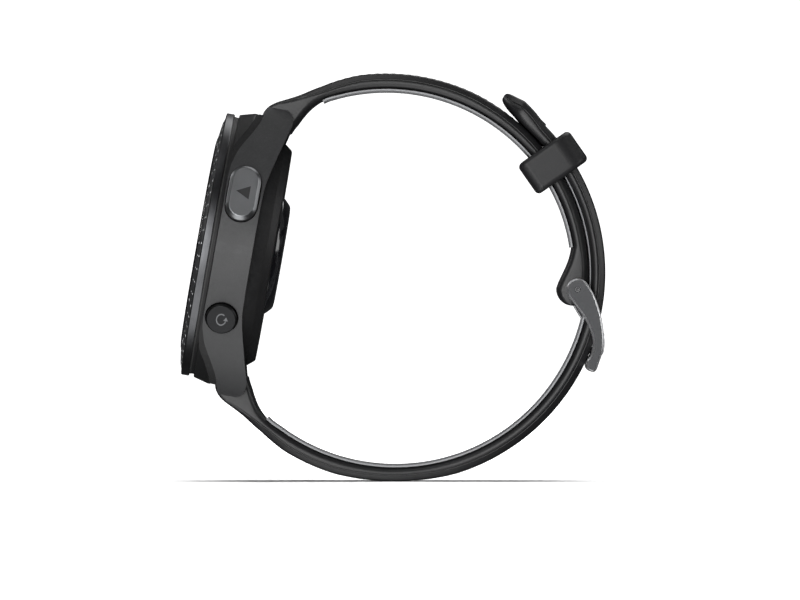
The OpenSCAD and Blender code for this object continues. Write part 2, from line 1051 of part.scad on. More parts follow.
module buckle_frame() {
  color(buckle_grey)
    stand()
      at_loop(buckle_angle, pin_circle)
        difference() {
          union() {
            for (side = [-1, 1])
              translate([0, side * (arm_face + arm_thickness / 2), 0])
                across(arm_thickness)
                  union() {
                    circle(1.9);
                    polygon(arm_outline);
                  }
            across(2 * arm_face + 0.1)
              polygon(bar_outline);
          }
          rotate([90, 0, 0])
            cylinder(r = pin_tip_radius + slack, h = 3 * strap_width, center = true);
          block([4.7, -tongue_width / 2 - 0.2, -11], [6, tongue_width / 2 + 0.2, -9]);
        }
}

module buckle_pin() {
  color(steel)
    stand()
      at_loop(buckle_angle, pin_circle)
        rotate([90, 0, 0]) {
          cylinder(r = pin_radius, h = strap_width, center = true);
          cylinder(r = pin_tip_radius, h = 2 * (arm_face + arm_thickness - 0.15), center = true);
        }
}

module buckle_tongue() {
  color(buckle_grey)
    stand()
      at_loop(buckle_angle, pin_circle)
        difference() {
          across(tongue_width)
            union() {
              circle(1.7);
              polygon(tongue_outline);
            }
          rotate([90, 0, 0])
            cylinder(r = pin_radius + slack, h = strap_width, center = true);
        }
}

// ---- lug bars ----

module along_bar(end, from, to, r) {
  translate([bar_x, from, end * bar_z])
    rotate([-90, 0, 0])
      cylinder(r = r, h = to - from);
}

module bar_tubes() {
  color(steel)
    stand()
      for (end = [-1, 1]) {
        difference() {
          along_bar(end, -tube_half, tube_half, 0.9);
          along_bar(end, -tube_half - beyond, tube_bore_end, tip_radius + slack);
          translate([bar_x + 1, lever_middle, end * bar_z])
            cube([2, lever_run + 0.6, 0.9], center = true);
        }
        along_bar(end, tube_half, bar_reach, tip_radius);
      }
}

module bar_tip(end) {
  color(steel)
    stand() {
      along_bar(end, -bar_reach, tip_inner_end, tip_radius);
      translate([bar_x, lever_place, end * bar_z])
        rotate([0, 90, 0])
          cylinder(r = lever_radius, h = 3.1);
    }
}

module upper_bar_tip() {
  bar_tip(1);
}

module lower_bar_tip() {
  bar_tip(-1);
}

module bar_spring(end) {
  color(steel)
    stand()
      translate([bar_x, tip_inner_end + slack, end * bar_z])
        rotate([-90, 0, 0])
          coil(0.36, 0.16, tube_bore_end - tip_inner_end - 2 * slack, 12);
}

module upper_bar_spring() {
  bar_spring(1);
}

module lower_bar_spring() {
  bar_spring(-1);
}

case_body();
bezel();
crystal();
bezel_gasket();
back_cover();
back_gasket();
back_screws();
sensor_window();
charge_socket();
charge_contacts();
display_panel();
display_carrier();
main_board();
board_chips();
shield_can();
battery();
vibration_motor();
sounder();
aerial_ring();
sensor_board();
sensor_optics();
display_ribbon();
sensor_ribbon();
key_ribbon();
pressure_vent();
key_switches();
start_button();
back_button();
light_button();
up_button();
down_button();
start_spring();
back_spring();
light_spring();
up_spring();
down_spring();
start_seal();
back_seal();
light_seal();
up_seal();
down_seal();
start_clip();
back_clip();
light_clip();
up_clip();
down_clip();
upper_strap();
upper_liner();
lower_strap();
lower_liner();
keeper();
buckle_frame();
buckle_pin();
buckle_tongue();
bar_tubes();
upper_bar_tip();
lower_bar_tip();
upper_bar_spring();
lower_bar_spring();
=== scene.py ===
"""The look of a GPS running watch that stands on its closed strap loop.

Pieces are drawn in millimetres, most of them in the head's own axes: X runs from the face to the
back, Z toward 12 o'clock, and Y away from the 3 o'clock side. HEAD leans them back and sets them
on the loop, in metres. Strap pieces are placed by angle and radius about the middle of the loop.
"""

import json
import math

import bmesh
import bpy
from mathutils import Matrix, Vector


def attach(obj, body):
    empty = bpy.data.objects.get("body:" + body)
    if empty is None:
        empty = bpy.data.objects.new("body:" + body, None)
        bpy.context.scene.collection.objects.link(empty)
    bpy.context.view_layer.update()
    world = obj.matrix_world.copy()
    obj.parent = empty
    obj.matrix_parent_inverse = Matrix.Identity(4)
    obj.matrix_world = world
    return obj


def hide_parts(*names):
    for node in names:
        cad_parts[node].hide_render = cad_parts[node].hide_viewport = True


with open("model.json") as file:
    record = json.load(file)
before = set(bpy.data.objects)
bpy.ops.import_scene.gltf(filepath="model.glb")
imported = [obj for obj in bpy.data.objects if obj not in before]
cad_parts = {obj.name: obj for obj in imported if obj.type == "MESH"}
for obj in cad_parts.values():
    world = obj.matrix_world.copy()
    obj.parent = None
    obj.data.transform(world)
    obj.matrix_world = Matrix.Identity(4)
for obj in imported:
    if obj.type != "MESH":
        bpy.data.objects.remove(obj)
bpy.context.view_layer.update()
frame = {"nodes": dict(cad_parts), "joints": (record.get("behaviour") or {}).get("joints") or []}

MM = 0.001
LEAN = 10

# Head
CASE_RADIUS = 23.6
PANEL_CURVE = 31.2
PANEL_SHIFT = CASE_RADIUS - PANEL_CURVE
HEAD_THICKNESS = 13.2
LUG_FACE = 11.25
BUTTON_DEPTH = 6.45
OBLONG_ANGLE = 17.6
ROUND_ANGLE = 22.4
BUTTON_TOP = 24.6 - PANEL_SHIFT
CAP_BASE = 30.1
POCKET_FLOOR = 28
CLIP_SEAT = 26.9
STEM_END = 25.6
STEM_RADIUS = 1.2
PANEL_BACK = 9.7
CRYSTAL_RADIUS = 18.6
CRYSTAL_BACK = 1.55
SCREEN_FRONT = 1.575
SCREW_CIRCLE = 16.9

# Strap loop
LOOP = Vector((34.2, 0, 0.8))
LOOP_RADIUS = 35.7
HALF_WIDTH = 11
MEET_ANGLE = 49.8
TOP_SHIFT = 2
INNER_HALF_RADIUS = 33.05
UPPER_THICKNESS = 2.4
STRAP_THICKNESS = 2.45
TAIL_THICKNESS = 2.25
BUCKLE_ANGLE = 4.7
PIN_CIRCLE = 31.28
SLOT_PITCH = 13.8
KEEPER_ANGLE = 44.9
TAIL_START = -1.5
TAIL_END = 54
TAIL_SWELL = 0.22
UPPER_START = 115.6
LOWER_START = -117.4
LINER_THICKNESS = 0.45
SKIN_RIB = 0.07
LINER_END = TAIL_END - 4.5
SLOT_OFFSET = 8.9
RIB_PITCH = 2.24
RIB_DEPTH = 0.06
RIB_STOP = 58
BAR = (9.9, 23)
BORE_RADIUS = 0.95
LOOP_MIDDLE = (LOOP.x, LOOP.z)
UPPER_MIDDLE = (
    LOOP.x - TOP_SHIFT * math.cos(math.radians(MEET_ANGLE)),
    LOOP.z - TOP_SHIFT * math.sin(math.radians(MEET_ANGLE)),
)

keeper_joint = next(j for j in frame["joints"] if j["name"] == "keeper_slide")


def turn(axis, degrees):
    """A turn about one axis."""
    return Matrix.Rotation(math.radians(degrees), 4, axis)


def shift(x=0, y=0, z=0):
    """A move along the axes."""
    return Matrix.Translation((x, y, z))


HEAD = (
    Matrix.Translation(keeper_joint["pos_m"])
    @ turn("Y", LEAN)
    @ Matrix.Scale(MM, 4)
    @ Matrix.Translation(-LOOP)
)


def at_loop(angle, radius=0):
    """Axes on the strap loop: X outward, Z along the strap toward the tail."""
    return HEAD @ Matrix.Translation(LOOP) @ turn("Y", -angle) @ shift(radius)


def at_button(side, angle):
    """Axes of a push button: Z out of the case, X along the depth."""
    return HEAD @ shift(BUTTON_DEPTH, side * PANEL_SHIFT) @ turn("X", -side * (90 - angle))


BUCKLE = at_loop(BUCKLE_ANGLE, PIN_CIRCLE)


# ---- helpers for nodes and faces ----

def add(tree, kind, links=None, **values):
    """A node with its properties and sockets set. links maps a socket to a value or to what feeds it."""
    node = tree.nodes.new(kind)
    for key, value in values.items():
        setattr(node, key, value)
    for key, value in (links or {}).items():
        if isinstance(value, bpy.types.NodeSocket):
            tree.links.new(value, node.inputs[key])
        else:
            node.inputs[key].default_value = value
    return node


def new_material(name, sockets):
    """A material with its shader's plain sockets set."""
    material = bpy.data.materials.new(name)
    material.use_nodes = True
    shader = material.node_tree.nodes["Principled BSDF"]
    for key, value in sockets.items():
        shader.inputs[key].default_value = value
    return material, material.node_tree, shader


def bridge(bm, low, high):
    """Joins two closed rings of points with faces."""
    for k in range(len(low)):
        j = (k + 1) % len(low)
        bm.faces.new((low[k], low[j], high[j], high[k]))


# ---- camera, floor and light ----

def place_camera():
    """Looks along +Y at the 3 o'clock side, from far off."""
    distance = 2.6
    view_width = 0.1366
    camera = bpy.data.objects.new("camera", bpy.data.cameras.new("camera"))
    bpy.context.scene.collection.objects.link(camera)
    camera.data.sensor_width = 36
    camera.data.lens = camera.data.sensor_width * distance / view_width
    camera.data.clip_start = 0.01
    camera.location = (0.00124, -0.011 - distance, 0.03102)
    camera.rotation_euler = (math.radians(90), 0, 0)
    bpy.context.scene.camera = camera


def soft_light(name, place, width, height, glow):
    """A softbox that faces the watch. glow is how bright its face looks."""
    data = bpy.data.lights.new(name, "AREA")
    data.shape = "RECTANGLE"
    data.size = width
    data.size_y = height
    data.energy = glow * math.pi * width * height
    light = bpy.data.objects.new(name, data)
    bpy.context.scene.collection.objects.link(light)
    light.location = place
    aim = Vector((0, 0, 0.03)) - Vector(place)
    light.rotation_euler = aim.to_track_quat("-Z", "Y").to_euler()
    light.visible_camera = False
    return light


def paper_white():
    """White paper that glows softly, less so under the watch, where its shadow falls."""
    material, tree, shader = new_material("white_sheet", {
        "Base Color": (0.8, 0.8, 0.8, 1), "Roughness": 0.9, "Specular IOR Level": 0.0,
        "Emission Color": (1, 1, 1, 1),
    })
    where = on_object(tree)
    away = add(tree, "ShaderNodeVectorMath", {0: where}, operation="LENGTH").outputs["Value"]
    glow = add(
        tree, "ShaderNodeMapRange",
        {"Value": away, "From Min": 0.07, "From Max": 0.6, "To Min": 0.04, "To Max": 1.05},
        interpolation_type="SMOOTHSTEP",
    )
    tree.links.new(glow.outputs[0], shader.inputs["Emission Strength"])
    return material


def lay_floor():
    """A white sheet that lies under the watch and curves up behind it on every side."""
    reach, bend, top, steps, sides = 3.5, 1.1, 3.4, 8, 96
    profile = [(reach, 0.0)]
    for i in range(1, steps + 1):
        a = math.radians(90) * i / steps
        profile.append((reach + bend * math.sin(a), bend * (1 - math.cos(a))))
    profile.append((reach + bend, top))
    bm = bmesh.new()
    corners = [2 * math.pi * k / sides for k in range(sides)]
    rings = [[bm.verts.new((r * math.cos(a), r * math.sin(a), z)) for a in corners] for r, z in profile]
    bm.faces.new(rings[0])
    for low, high in zip(rings, rings[1:]):
        bridge(bm, low, high)
    mesh = bpy.data.meshes.new("floor")
    bm.to_mesh(mesh)
    bm.free()
    floor = bpy.data.objects.new("floor", mesh)
    bpy.context.scene.collection.objects.link(floor)
    mesh.materials.append(paper_white())
    floor.visible_glossy = False
    floor.visible_diffuse = False
    floor.visible_shadow = False
    return floor


def light_studio(floor):
    """Soft light from ahead for the watch, and an overhead box that lights only the floor."""
    world = bpy.data.worlds.new("studio")
    world.use_nodes = True
    world.node_tree.nodes["Background"].inputs["Color"].default_value = (0.95, 0.97, 1, 1)
    world.node_tree.nodes["Background"].inputs["Strength"].default_value = 0.03
    bpy.context.scene.world = world
    bpy.context.scene.view_settings.view_transform = "Standard"
    boxes = [
        soft_light("front_box", (-0.35, -1.5, 0.1), 1.0, 1.3, 5.6),
        soft_light("low_box", (-0.3, -0.75, -1.1), 1.3, 1.4, 2.3),
        soft_light("top_box", (-0.4, -0.2, 1.6), 1.1, 1.0, 1.7),
        soft_light("right_box", (1.4, -0.25, 0.35), 0.7, 0.8, 3.0),
        soft_light("back_box", (0.5, 0.9, 1.2), 1.2, 0.7, 2.2),
        soft_light("face_box", (-1.35, 0.75, 0.75), 0.6, 0.9, 3.0),
    ]
    over = soft_light("floor_box", (0, 0.2, 2.2), 2.6, 2.6, 6.5)
    floor_only = bpy.data.collections.new("floor_only")
    floor_only.objects.link(floor)
    over.light_linking.receiver_collection = floor_only
    all_but_floor = bpy.data.collections.new("all_but_floor")
    all_but_floor.objects.link(floor)
    all_but_floor.collection_objects[0].light_linking.link_state = "EXCLUDE"
    for box in boxes:
        box.light_linking.receiver_collection = all_but_floor


# ---- shader node groups ----

def new_group(name, inputs, outputs):
    """A shader node group with number sockets, and its two end nodes."""
    group = bpy.data.node_groups.new(name, "ShaderNodeTree")
    for label, value in inputs:
        socket = group.interface.new_socket(name=label, in_out="INPUT", socket_type="NodeSocketFloat")
        socket.default_value = value
    for label in outputs:
        group.interface.new_socket(name=label, in_out="OUTPUT", socket_type="NodeSocketFloat")
    return group, group.nodes.new("NodeGroupInput"), group.nodes.new("NodeGroupOutput")


def compute(tree, operation, *values):
    """The result of a math node."""
    return add(tree, "ShaderNodeMath", dict(enumerate(values)), operation=operation).outputs[0]


def ramp(tree, value, low, high, start=0.0, stop=1.0):
    """Maps the stretch from low to high onto start to stop."""
    sockets = {"Value": value, "From Min": low, "From Max": high, "To Min": start, "To Max": stop}
    return add(tree, "ShaderNodeMapRange", sockets).outputs[0]


def per_metre(tree, size):
    """How many times a size goes into a metre."""
    return compute(tree, "DIVIDE", 1.0, size)


def spots(tree, where, count, detail, roughness):
    """Noise with count spots to the metre."""
    sockets = {"Vector": where, "Scale": count, "Detail": detail, "Roughness": roughness}
    return add(tree, "ShaderNodeTexNoise", sockets).outputs[0]


def on_object(tree):
    """Places on the object, so that a pattern stays on it when it moves."""
    return add(tree, "ShaderNodeTexCoord").outputs["Object"]


def facing(tree, kind):
    """The axes of a surface's normal."""
    return add(tree, "ShaderNodeSeparateXYZ", {0: add(tree, "ShaderNodeNewGeometry").outputs[kind]}).outputs


def make_grain():
    """Fine moulded grain and slow mottling. Size is the grain's size in metres."""
    group, given, result = new_group("moulded_grain", [("Size", 0.0003), ("Mottle", 0.1)], ["Height", "Tone"])
    where = on_object(group)
    count = per_metre(group, given.outputs["Size"])
    fine = spots(group, where, count, 2.0, 0.6)
    wide = spots(group, where, compute(group, "MULTIPLY", count, 0.035), 3.0, 0.55)
    centred = compute(group, "SUBTRACT", compute(group, "ADD", fine, wide), 1.0)
    tone = compute(group, "MULTIPLY_ADD", centred, given.outputs["Mottle"], 0.5)
    group.links.new(fine, result.inputs["Height"])
    group.links.new(tone, result.inputs["Tone"])
    return group


def make_wear_and_highlight():
    """A mask of convex edges, broken up by noise: partly rubbed wear, partly painted highlight."""
    group, given, result = new_group("edge_wear_and_highlight", [("Amount", 0.3), ("Size", 0.0012)], ["Mask"])
    patches = spots(group, on_object(group), per_metre(group, given.outputs["Size"]), 4.0, 0.7)
    ridge = ramp(group, add(group, "ShaderNodeNewGeometry").outputs["Pointiness"], 0.52, 0.62)
    mask = compute(group, "MULTIPLY", ridge, ramp(group, patches, 0.35, 0.65))
    group.links.new(compute(group, "MULTIPLY", mask, given.outputs["Amount"]), result.inputs["Mask"])
    return group


def make_brushing():
    """Long fine lines along Y, as left by brushing."""
    group, given, result = new_group("brushed_lines", [("Size", 0.00012)], ["Height"])
    stretched = add(group, "ShaderNodeMapping", {"Vector": on_object(group), "Scale": (1.0, 0.02, 1.0)})
    lines = spots(group, stretched.outputs[0], per_metre(group, given.outputs["Size"]), 3.0, 0.7)
    group.links.new(lines, result.inputs["Height"])
    return group


def make_dust():
    """A mask of dust that settles on upward faces and in patches."""
    group, given, result = new_group("settled_dust", [("Amount", 0.2), ("Size", 0.0004)], ["Mask"])
    specks = spots(group, on_object(group), per_metre(group, given.outputs["Size"]), 5.0, 0.8)
    up = ramp(group, facing(group, "Normal")["Z"], -0.6, 1.0)
    mask = compute(group, "MULTIPLY", ramp(group, specks, 0.5, 0.75), up)
    group.links.new(compute(group, "MULTIPLY", mask, given.outputs["Amount"]), result.inputs["Mask"])
    return group


def make_painted_light_masks():
    """Masks for painted light: the bevels round a side face, for painted highlight, and the faces turned
    toward the front of the watch, for painted shade.
    """
    side_on, front_on = 0.9, 0.42
    group, given, result = new_group("painted_light_masks", [("Soft", 0.08)], ["Bevel", "Front_Shade"])
    normal = facing(group, "True Normal")
    sideways = compute(group, "ABSOLUTE", normal["Y"])
    frontward = compute(group, "MULTIPLY", normal["X"], -1.0)
    below = compute(group, "SUBTRACT", side_on, given.outputs["Soft"])
    above = compute(group, "ADD", front_on, given.outputs["Soft"])
    group.links.new(ramp(group, sideways, side_on, below), result.inputs["Bevel"])
    group.links.new(ramp(group, frontward, front_on, above), result.inputs["Front_Shade"])
    return group


GRAIN = make_grain()
WEAR_AND_HIGHLIGHT = make_wear_and_highlight()
BRUSHING = make_brushing()
DUST = make_dust()
PAINTED_LIGHT_MASKS = make_painted_light_masks()


def use(tree, group, **values):
    """A shader node group, placed with its own values."""
    return add(tree, "ShaderNodeGroup", values, node_tree=group)


DUST_COLOUR = (0.42, 0.41, 0.4)


def blend_colours(tree, factor, first, second):
    """Mixes two colours, each a colour or a socket, by a mask."""
    node = tree.nodes.new("ShaderNodeMix")
    node.data_type = "RGBA"
    tree.links.new(factor, node.inputs[0])
    for slot, value in ((6, first), (7, second)):
        if isinstance(value, bpy.types.NodeSocket):
            tree.links.new(value, node.inputs[slot])
        else:
            node.inputs[slot].default_value = (*value, 1)
    return node.outputs[2]


def finish(name, colour, rough, grain=0.0003, depth=0.02, mottle=0.8, metal=0.0, wear_and_highlight_colour=None, wear_and_highlight=0.5,
           dust=0.0, brushed=False, coat=0.0, gloss=0.5, spread=0.12,
           painted_light_mask=None, painted_light_colour=None, painted_light_rough=0.5):
    """A solid finish: colour that drifts with the grain, lighter convex edges that are partly rubbed wear and
    partly painted highlight, dust and a grained or brushed bump. grain is in metres and depth in millimetres.
    painted_light_mask names the faces that get a colour and roughness of their own: painted shade or painted
    highlight."""
    material, tree, shader = new_material(name, {
        "Metallic": metal, "Coat Weight": coat, "Coat Roughness": 0.12, "Specular IOR Level": gloss,
    })
    texture = use(tree, GRAIN, Size=grain, Mottle=mottle)
    tone = texture.outputs["Tone"]
    height = (use(tree, BRUSHING, Size=grain) if brushed else texture).outputs["Height"]
    shown = blend_colours(tree, tone, [c * 0.72 for c in colour], [min(1, c * 1.28) for c in colour])
    # Lighter convex edges: partly rubbed wear, partly painted highlight.
    if wear_and_highlight_colour:
        shown = blend_colours(tree, use(tree, WEAR_AND_HIGHLIGHT, Amount=wear_and_highlight).outputs["Mask"], shown, wear_and_highlight_colour)
    if dust:
        shown = blend_colours(tree, use(tree, DUST, Amount=dust).outputs["Mask"], shown, DUST_COLOUR)
    varied = ramp(tree, tone, 0.0, 1.0, rough - spread, rough + spread)
    # The masked faces get a colour and roughness of their own: painted shade or painted highlight.
    if painted_light_mask:
        painted_light_faces = use(tree, PAINTED_LIGHT_MASKS).outputs[painted_light_mask]
        shown = blend_colours(tree, painted_light_faces, shown, painted_light_colour)
        varied = ramp(tree, painted_light_faces, 0.0, 1.0, varied, painted_light_rough)
    tree.links.new(shown, shader.inputs["Base Color"])
    tree.links.new(varied, shader.inputs["Roughness"])
    bump = add(tree, "ShaderNodeBump", {"Height": height, "Strength": 1.0, "Distance": depth * MM})
    tree.links.new(bump.outputs[0], shader.inputs["Normal"])
    return material


# ---- materials ----

def case_polymer():
    # Faces turned toward the face side are painted near-black and rough: painted shade on the panel's front
    # chamfers.
    return finish("case_polymer", (0.025, 0.0254, 0.0265), 0.46, grain=0.0002, depth=0.012,
                  wear_and_highlight_colour=(0.05, 0.05, 0.053), wear_and_highlight=0.35, dust=0.04, gloss=0.44, painted_light_mask="Front_Shade",
                  painted_light_colour=(0.002, 0.002, 0.0022), painted_light_rough=0.95)


def recess_shade_polymer():
    # Painted shade: a darker copy of the case polymer for the drum and shoulders, in the recess between bezel
    # and panel.
    return finish("recess_shade_polymer", (0.009, 0.0091, 0.0095), 0.48, grain=0.0002, depth=0.008,
                  wear_and_highlight_colour=(0.02, 0.02, 0.021), wear_and_highlight=0.3, dust=0.03, gloss=0.24)


def cover_polymer():
    return finish("cover_polymer", (0.008, 0.008, 0.0085), 0.5, grain=0.0002, depth=0.006, gloss=0.32,
                  wear_and_highlight_colour=(0.03, 0.03, 0.032), dust=0.05)


def bezel_metal():
    return finish("bezel_metal", (0.078, 0.0795, 0.083), 0.34, grain=0.0001, depth=0.0015, mottle=0.4,
                  metal=1.0, wear_and_highlight_colour=(0.22, 0.22, 0.23), wear_and_highlight=0.3, brushed=True, spread=0.04)


def bezel_coat():
    return finish("bezel_coat", (0.03, 0.0302, 0.032), 0.3, grain=0.0002, depth=0.003,
                  wear_and_highlight_colour=(0.16, 0.16, 0.165), wear_and_highlight=0.4)


def white_print():
    return finish("white_print", (0.75, 0.76, 0.78), 0.5, grain=0.0001, depth=0.004, mottle=0.3)


def pale_print():
    return finish("pale_print", (0.13, 0.133, 0.14), 0.5, grain=0.0001, depth=0.004, mottle=0.5)


def button_metal():
    return finish("button_metal", (0.19, 0.194, 0.2), 0.36, grain=0.0001, depth=0.002, mottle=0.4, metal=1.0,
                  wear_and_highlight_colour=(0.3, 0.3, 0.31), wear_and_highlight=0.35, brushed=True, spread=0.04)


def dark_button():
    return finish("dark_button", (0.0165, 0.0168, 0.0175), 0.38, grain=0.0001, depth=0.002, metal=0.9,
                  wear_and_highlight_colour=(0.08, 0.08, 0.083), wear_and_highlight=0.3, brushed=True, spread=0.04)


def mark_ink():
    return finish("mark_ink", (0.009, 0.009, 0.01), 0.6, grain=0.0001, depth=0.002)


def strap_silicone():
    return finish("strap_silicone", (0.0075, 0.0075, 0.0082), 0.43, grain=0.00025, depth=0.004, mottle=0.5,
                  wear_and_highlight_colour=(0.02, 0.02, 0.021), wear_and_highlight=0.3, dust=0.02, gloss=0.45, spread=0.06)


def keeper_silicone():
    return finish("keeper_silicone", (0.011, 0.011, 0.012), 0.47, grain=0.00022, depth=0.006, mottle=0.5,
                  wear_and_highlight_colour=(0.025, 0.025, 0.026), wear_and_highlight=0.3, dust=0.03, gloss=0.32, spread=0.06)


def skin_silicone():
    return finish("skin_silicone", (0.29, 0.294, 0.304), 0.6, grain=0.0003, depth=0.01, dust=0.1)


def buckle_metal():
    # Bevels round the flat sides are painted near-white: painted highlight on the buckle's edges.
    return finish("buckle_metal", (0.034, 0.0345, 0.0358), 0.34, grain=0.00013, depth=0.002, mottle=0.25,
                  metal=1.0, brushed=True, spread=0.03,
                  painted_light_mask="Bevel", painted_light_colour=(0.95, 0.955, 0.97), painted_light_rough=0.4)


def pin_steel():
    return finish("pin_steel", (0.06, 0.06, 0.062), 0.3, grain=0.0001, depth=0.001, metal=1.0,
                  wear_and_highlight_colour=(0.4, 0.4, 0.4), brushed=True, spread=0.06)


def rubber():
    return finish("seal_rubber", (0.02, 0.02, 0.02), 0.6, grain=0.0002, depth=0.006, dust=0.1)


def steel():
    return finish("plated_steel", (0.55, 0.55, 0.57), 0.28, grain=0.0001, depth=0.0015, metal=1.0,
                  wear_and_highlight_colour=(0.8, 0.8, 0.8), brushed=True, spread=0.06)


def gold():
    return finish("contact_gold", (0.83, 0.6, 0.27), 0.25, grain=0.0001, depth=0.001, metal=1.0, spread=0.05)


def black_resin():
    return finish("black_resin", (0.028, 0.028, 0.03), 0.4, grain=0.0001, depth=0.003, dust=0.1)


def cell_foil():
    return finish("cell_foil", (0.5, 0.51, 0.53), 0.35, grain=0.0006, depth=0.01, metal=0.85, spread=0.08)


def overprint(material, mask, colour):
    """Lays a colour over a material's own where the mask is."""
    tree = material.node_tree
    base = tree.nodes["Principled BSDF"].inputs["Base Color"]
    shown = blend_colours(tree, mask, base.links[0].from_socket, colour)
    tree.links.new(shown, base)
    return material


def circuit_board():
    """Green solder mask over copper tracks."""
    material = finish("circuit_board", (0.02, 0.12, 0.06), 0.35, grain=0.0003, depth=0.002, dust=0.06)
    tree = material.node_tree
    turned = add(tree, "ShaderNodeMapping", {"Vector": on_object(tree), "Rotation": (math.radians(90), 0, 0)})
    tracks = add(
        tree, "ShaderNodeTexBrick",
        {"Vector": turned.outputs[0], "Scale": 260.0, "Mortar Size": 0.03, "Mortar Smooth": 0.3},
    )
    return overprint(material, tracks.outputs["Fac"], (0.06, 0.3, 0.14))


def flex_ribbon():
    """Amber film with copper lines that run along it."""
    material = finish("flex_ribbon", (0.42, 0.18, 0.04), 0.35, grain=0.0003, depth=0.001, coat=0.4)
    tree = material.node_tree
    sockets = {"Vector": on_object(tree), "Scale": 330.0, "Distortion": 0.0}
    lines = add(tree, "ShaderNodeTexWave", sockets, bands_direction="Y")
    return overprint(material, lines.outputs["Fac"], (0.75, 0.42, 0.16))


def clear_glass():
    """Chemically hardened lens glass with faint wiping marks."""
    material, tree, shader = new_material("clear_glass", {"Transmission Weight": 1.0, "IOR": 1.5})
    tone = use(tree, GRAIN, Size=0.004, Mottle=0.5).outputs["Tone"]
    tree.links.new(blend_colours(tree, tone, (0.93, 0.95, 0.95), (1, 1, 1)), shader.inputs["Base Color"])
    tree.links.new(ramp(tree, tone, 0.0, 1.0, 0.0, 0.015), shader.inputs["Roughness"])
    return material


def window_glass():
    """Black optical window, glossy, with faint smears."""
    return finish("window_glass", (0.006, 0.006, 0.008), 0.12, grain=0.0008, depth=0.0008, coat=0.6,
                  spread=0.06, dust=0.06)


def lit(name, colour, glow):
    """A part of the screen that gives its own light, in a fine raster."""
    material, tree, shader = new_material(name, {
        "Roughness": 0.4, "Specular IOR Level": 0.1, "Emission Strength": glow,
    })
    texture = use(tree, GRAIN, Size=0.00012, Mottle=1.4)
    shown = blend_colours(tree, texture.outputs["Tone"], [c * 0.75 for c in colour], colour)
    tree.links.new(shown, shader.inputs["Base Color"])
    tree.links.new(shown, shader.inputs["Emission Color"])
    return material


# ---- meshes ----

def build(name, bm):
    """Turns a bmesh into an object, in millimetres, with its faces outward."""
    bmesh.ops.recalc_face_normals(bm, faces=bm.faces)
    mesh = bpy.data.meshes.new(name)
    bm.to_mesh(mesh)
    bm.free()
    obj = bpy.data.objects.new(name, mesh)
    bpy.context.scene.collection.objects.link(obj)
    return obj


def loft(name, rings, closed=False):
    """Skins a row of rings that have the same number of points. Ends are capped unless closed."""
    bm = bmesh.new()
    rows = [[bm.verts.new(p) for p in ring] for ring in rings]
    if closed:
        rows.append(rows[0])
    else:
        bm.faces.new(rows[0])
        bm.faces.new(rows[-1])
    for low, high in zip(rows, rows[1:]):
        bridge(bm, low, high)
    bmesh.ops.remove_doubles(bm, verts=bm.verts, dist=0.0005)
    bmesh.ops.delete(bm, geom=[edge for edge in bm.edges if not edge.link_faces], context="EDGES")
    return build(name, bm)


def prism(name, outline, low, high, along="Y"):
    """An outline pushed along an axis. Outlines are [x, z] along Y, [y, z] along X, [x, y] along Z."""
    make = {
        "Y": lambda p, t: (p[0], t, p[1]),
        "X": lambda p, t: (t, p[0], p[1]),
        "Z": lambda p, t: (p[0], p[1], t),
    }[along]
    return loft(name, [[make(p, t) for p in outline] for t in (low, high)])


def lathe(name, profile, steps=240):
    """Turns a closed [radius, depth] outline about X."""
    angles = [2 * math.pi * i / steps for i in range(steps)]
    rings = [[(d, r * math.cos(a), r * math.sin(a)) for r, d in profile] for a in angles]
    return loft(name, rings, closed=True)


def circle(x, y, r, steps=64, start=0, stop=360):
    """Points round a circle, or along an arc between two angles."""
    count = steps if stop - start == 360 else steps + 1
    angles = [math.radians(start + (stop - start) * i / steps) for i in range(count)]
    return [(x + r * math.cos(a), y + r * math.sin(a)) for a in angles]


def stadium(length, r, steps=24):
    """A rounded bar along the second axis."""
    run = length / 2 - r
    return circle(0, run, r, steps, 0, 180) + circle(0, -run, r, steps, 180, 360)


def smooth(points, steps=5, closed=True):
    """A curve through the points."""
    count = len(points)
    result = []
    for i in range(count if closed else count - 1):
        near = [j % count if closed else min(max(j, 0), count - 1) for j in range(i - 1, i + 3)]
        p = [Vector(points[j]) for j in near]
        for s in range(steps):
            t = s / steps
            result.append(
                0.5 * (2 * p[1] + (p[2] - p[0]) * t + (2 * p[0] - 5 * p[1] + 4 * p[2] - p[3]) * t * t
                       + (3 * p[1] - p[0] - 3 * p[2] + p[3]) * t ** 3)
            )
    if not closed:
        result.append(Vector(points[-1]))
    return result


def inset(outline, distance):
    """Moves a closed outline inward, keeping its number of points."""
    count = len(outline)
    area = sum(
        outline[i][0] * outline[(i + 1) % count][1] - outline[(i + 1) % count][0] * outline[i][1]
        for i in range(count)
    )
    sign = 1 if area > 0 else -1
    result = []
    for i in range(count):
        before = Vector(outline[i]) - Vector(outline[i - 1])
        after = Vector(outline[(i + 1) % count]) - Vector(outline[i])
        if before.length < 1e-9 or after.length < 1e-9:
            tangent = before + after
        else:
            tangent = before.normalized() + after.normalized()
        tangent.normalize()
        inward = Vector((-tangent.y, tangent.x)) * sign
        spread = max(0.6, abs(tangent.dot(after.normalized()))) if after.length > 1e-9 else 1
        result.append(Vector(outline[i]) + inward * (distance / spread))
    return result


def column(name, outline, steps):
    """An outline pushed along Z. Steps are [inset, level]."""
    return loft(name, [[(p[0], p[1], level) for p in inset(outline, step)] for step, level in steps])


def rod(name, steps, sides):
    """A round rod along Z. Steps are [radius, level]."""
    return loft(name, [[(x, y, level) for x, y in circle(0, 0, radius, sides)] for radius, level in steps])


def plate(name, outline, half, edge):
    """A plate seen along Y with eased edges. edge holds [inset, drop] from the flat side."""
    rings = []
    for way in (-1, 1):
        for step, drop in edge[::-way]:
            rings.append([(p[0], way * (half - drop), p[1]) for p in inset(outline, step)])
    return loft(name, rings)


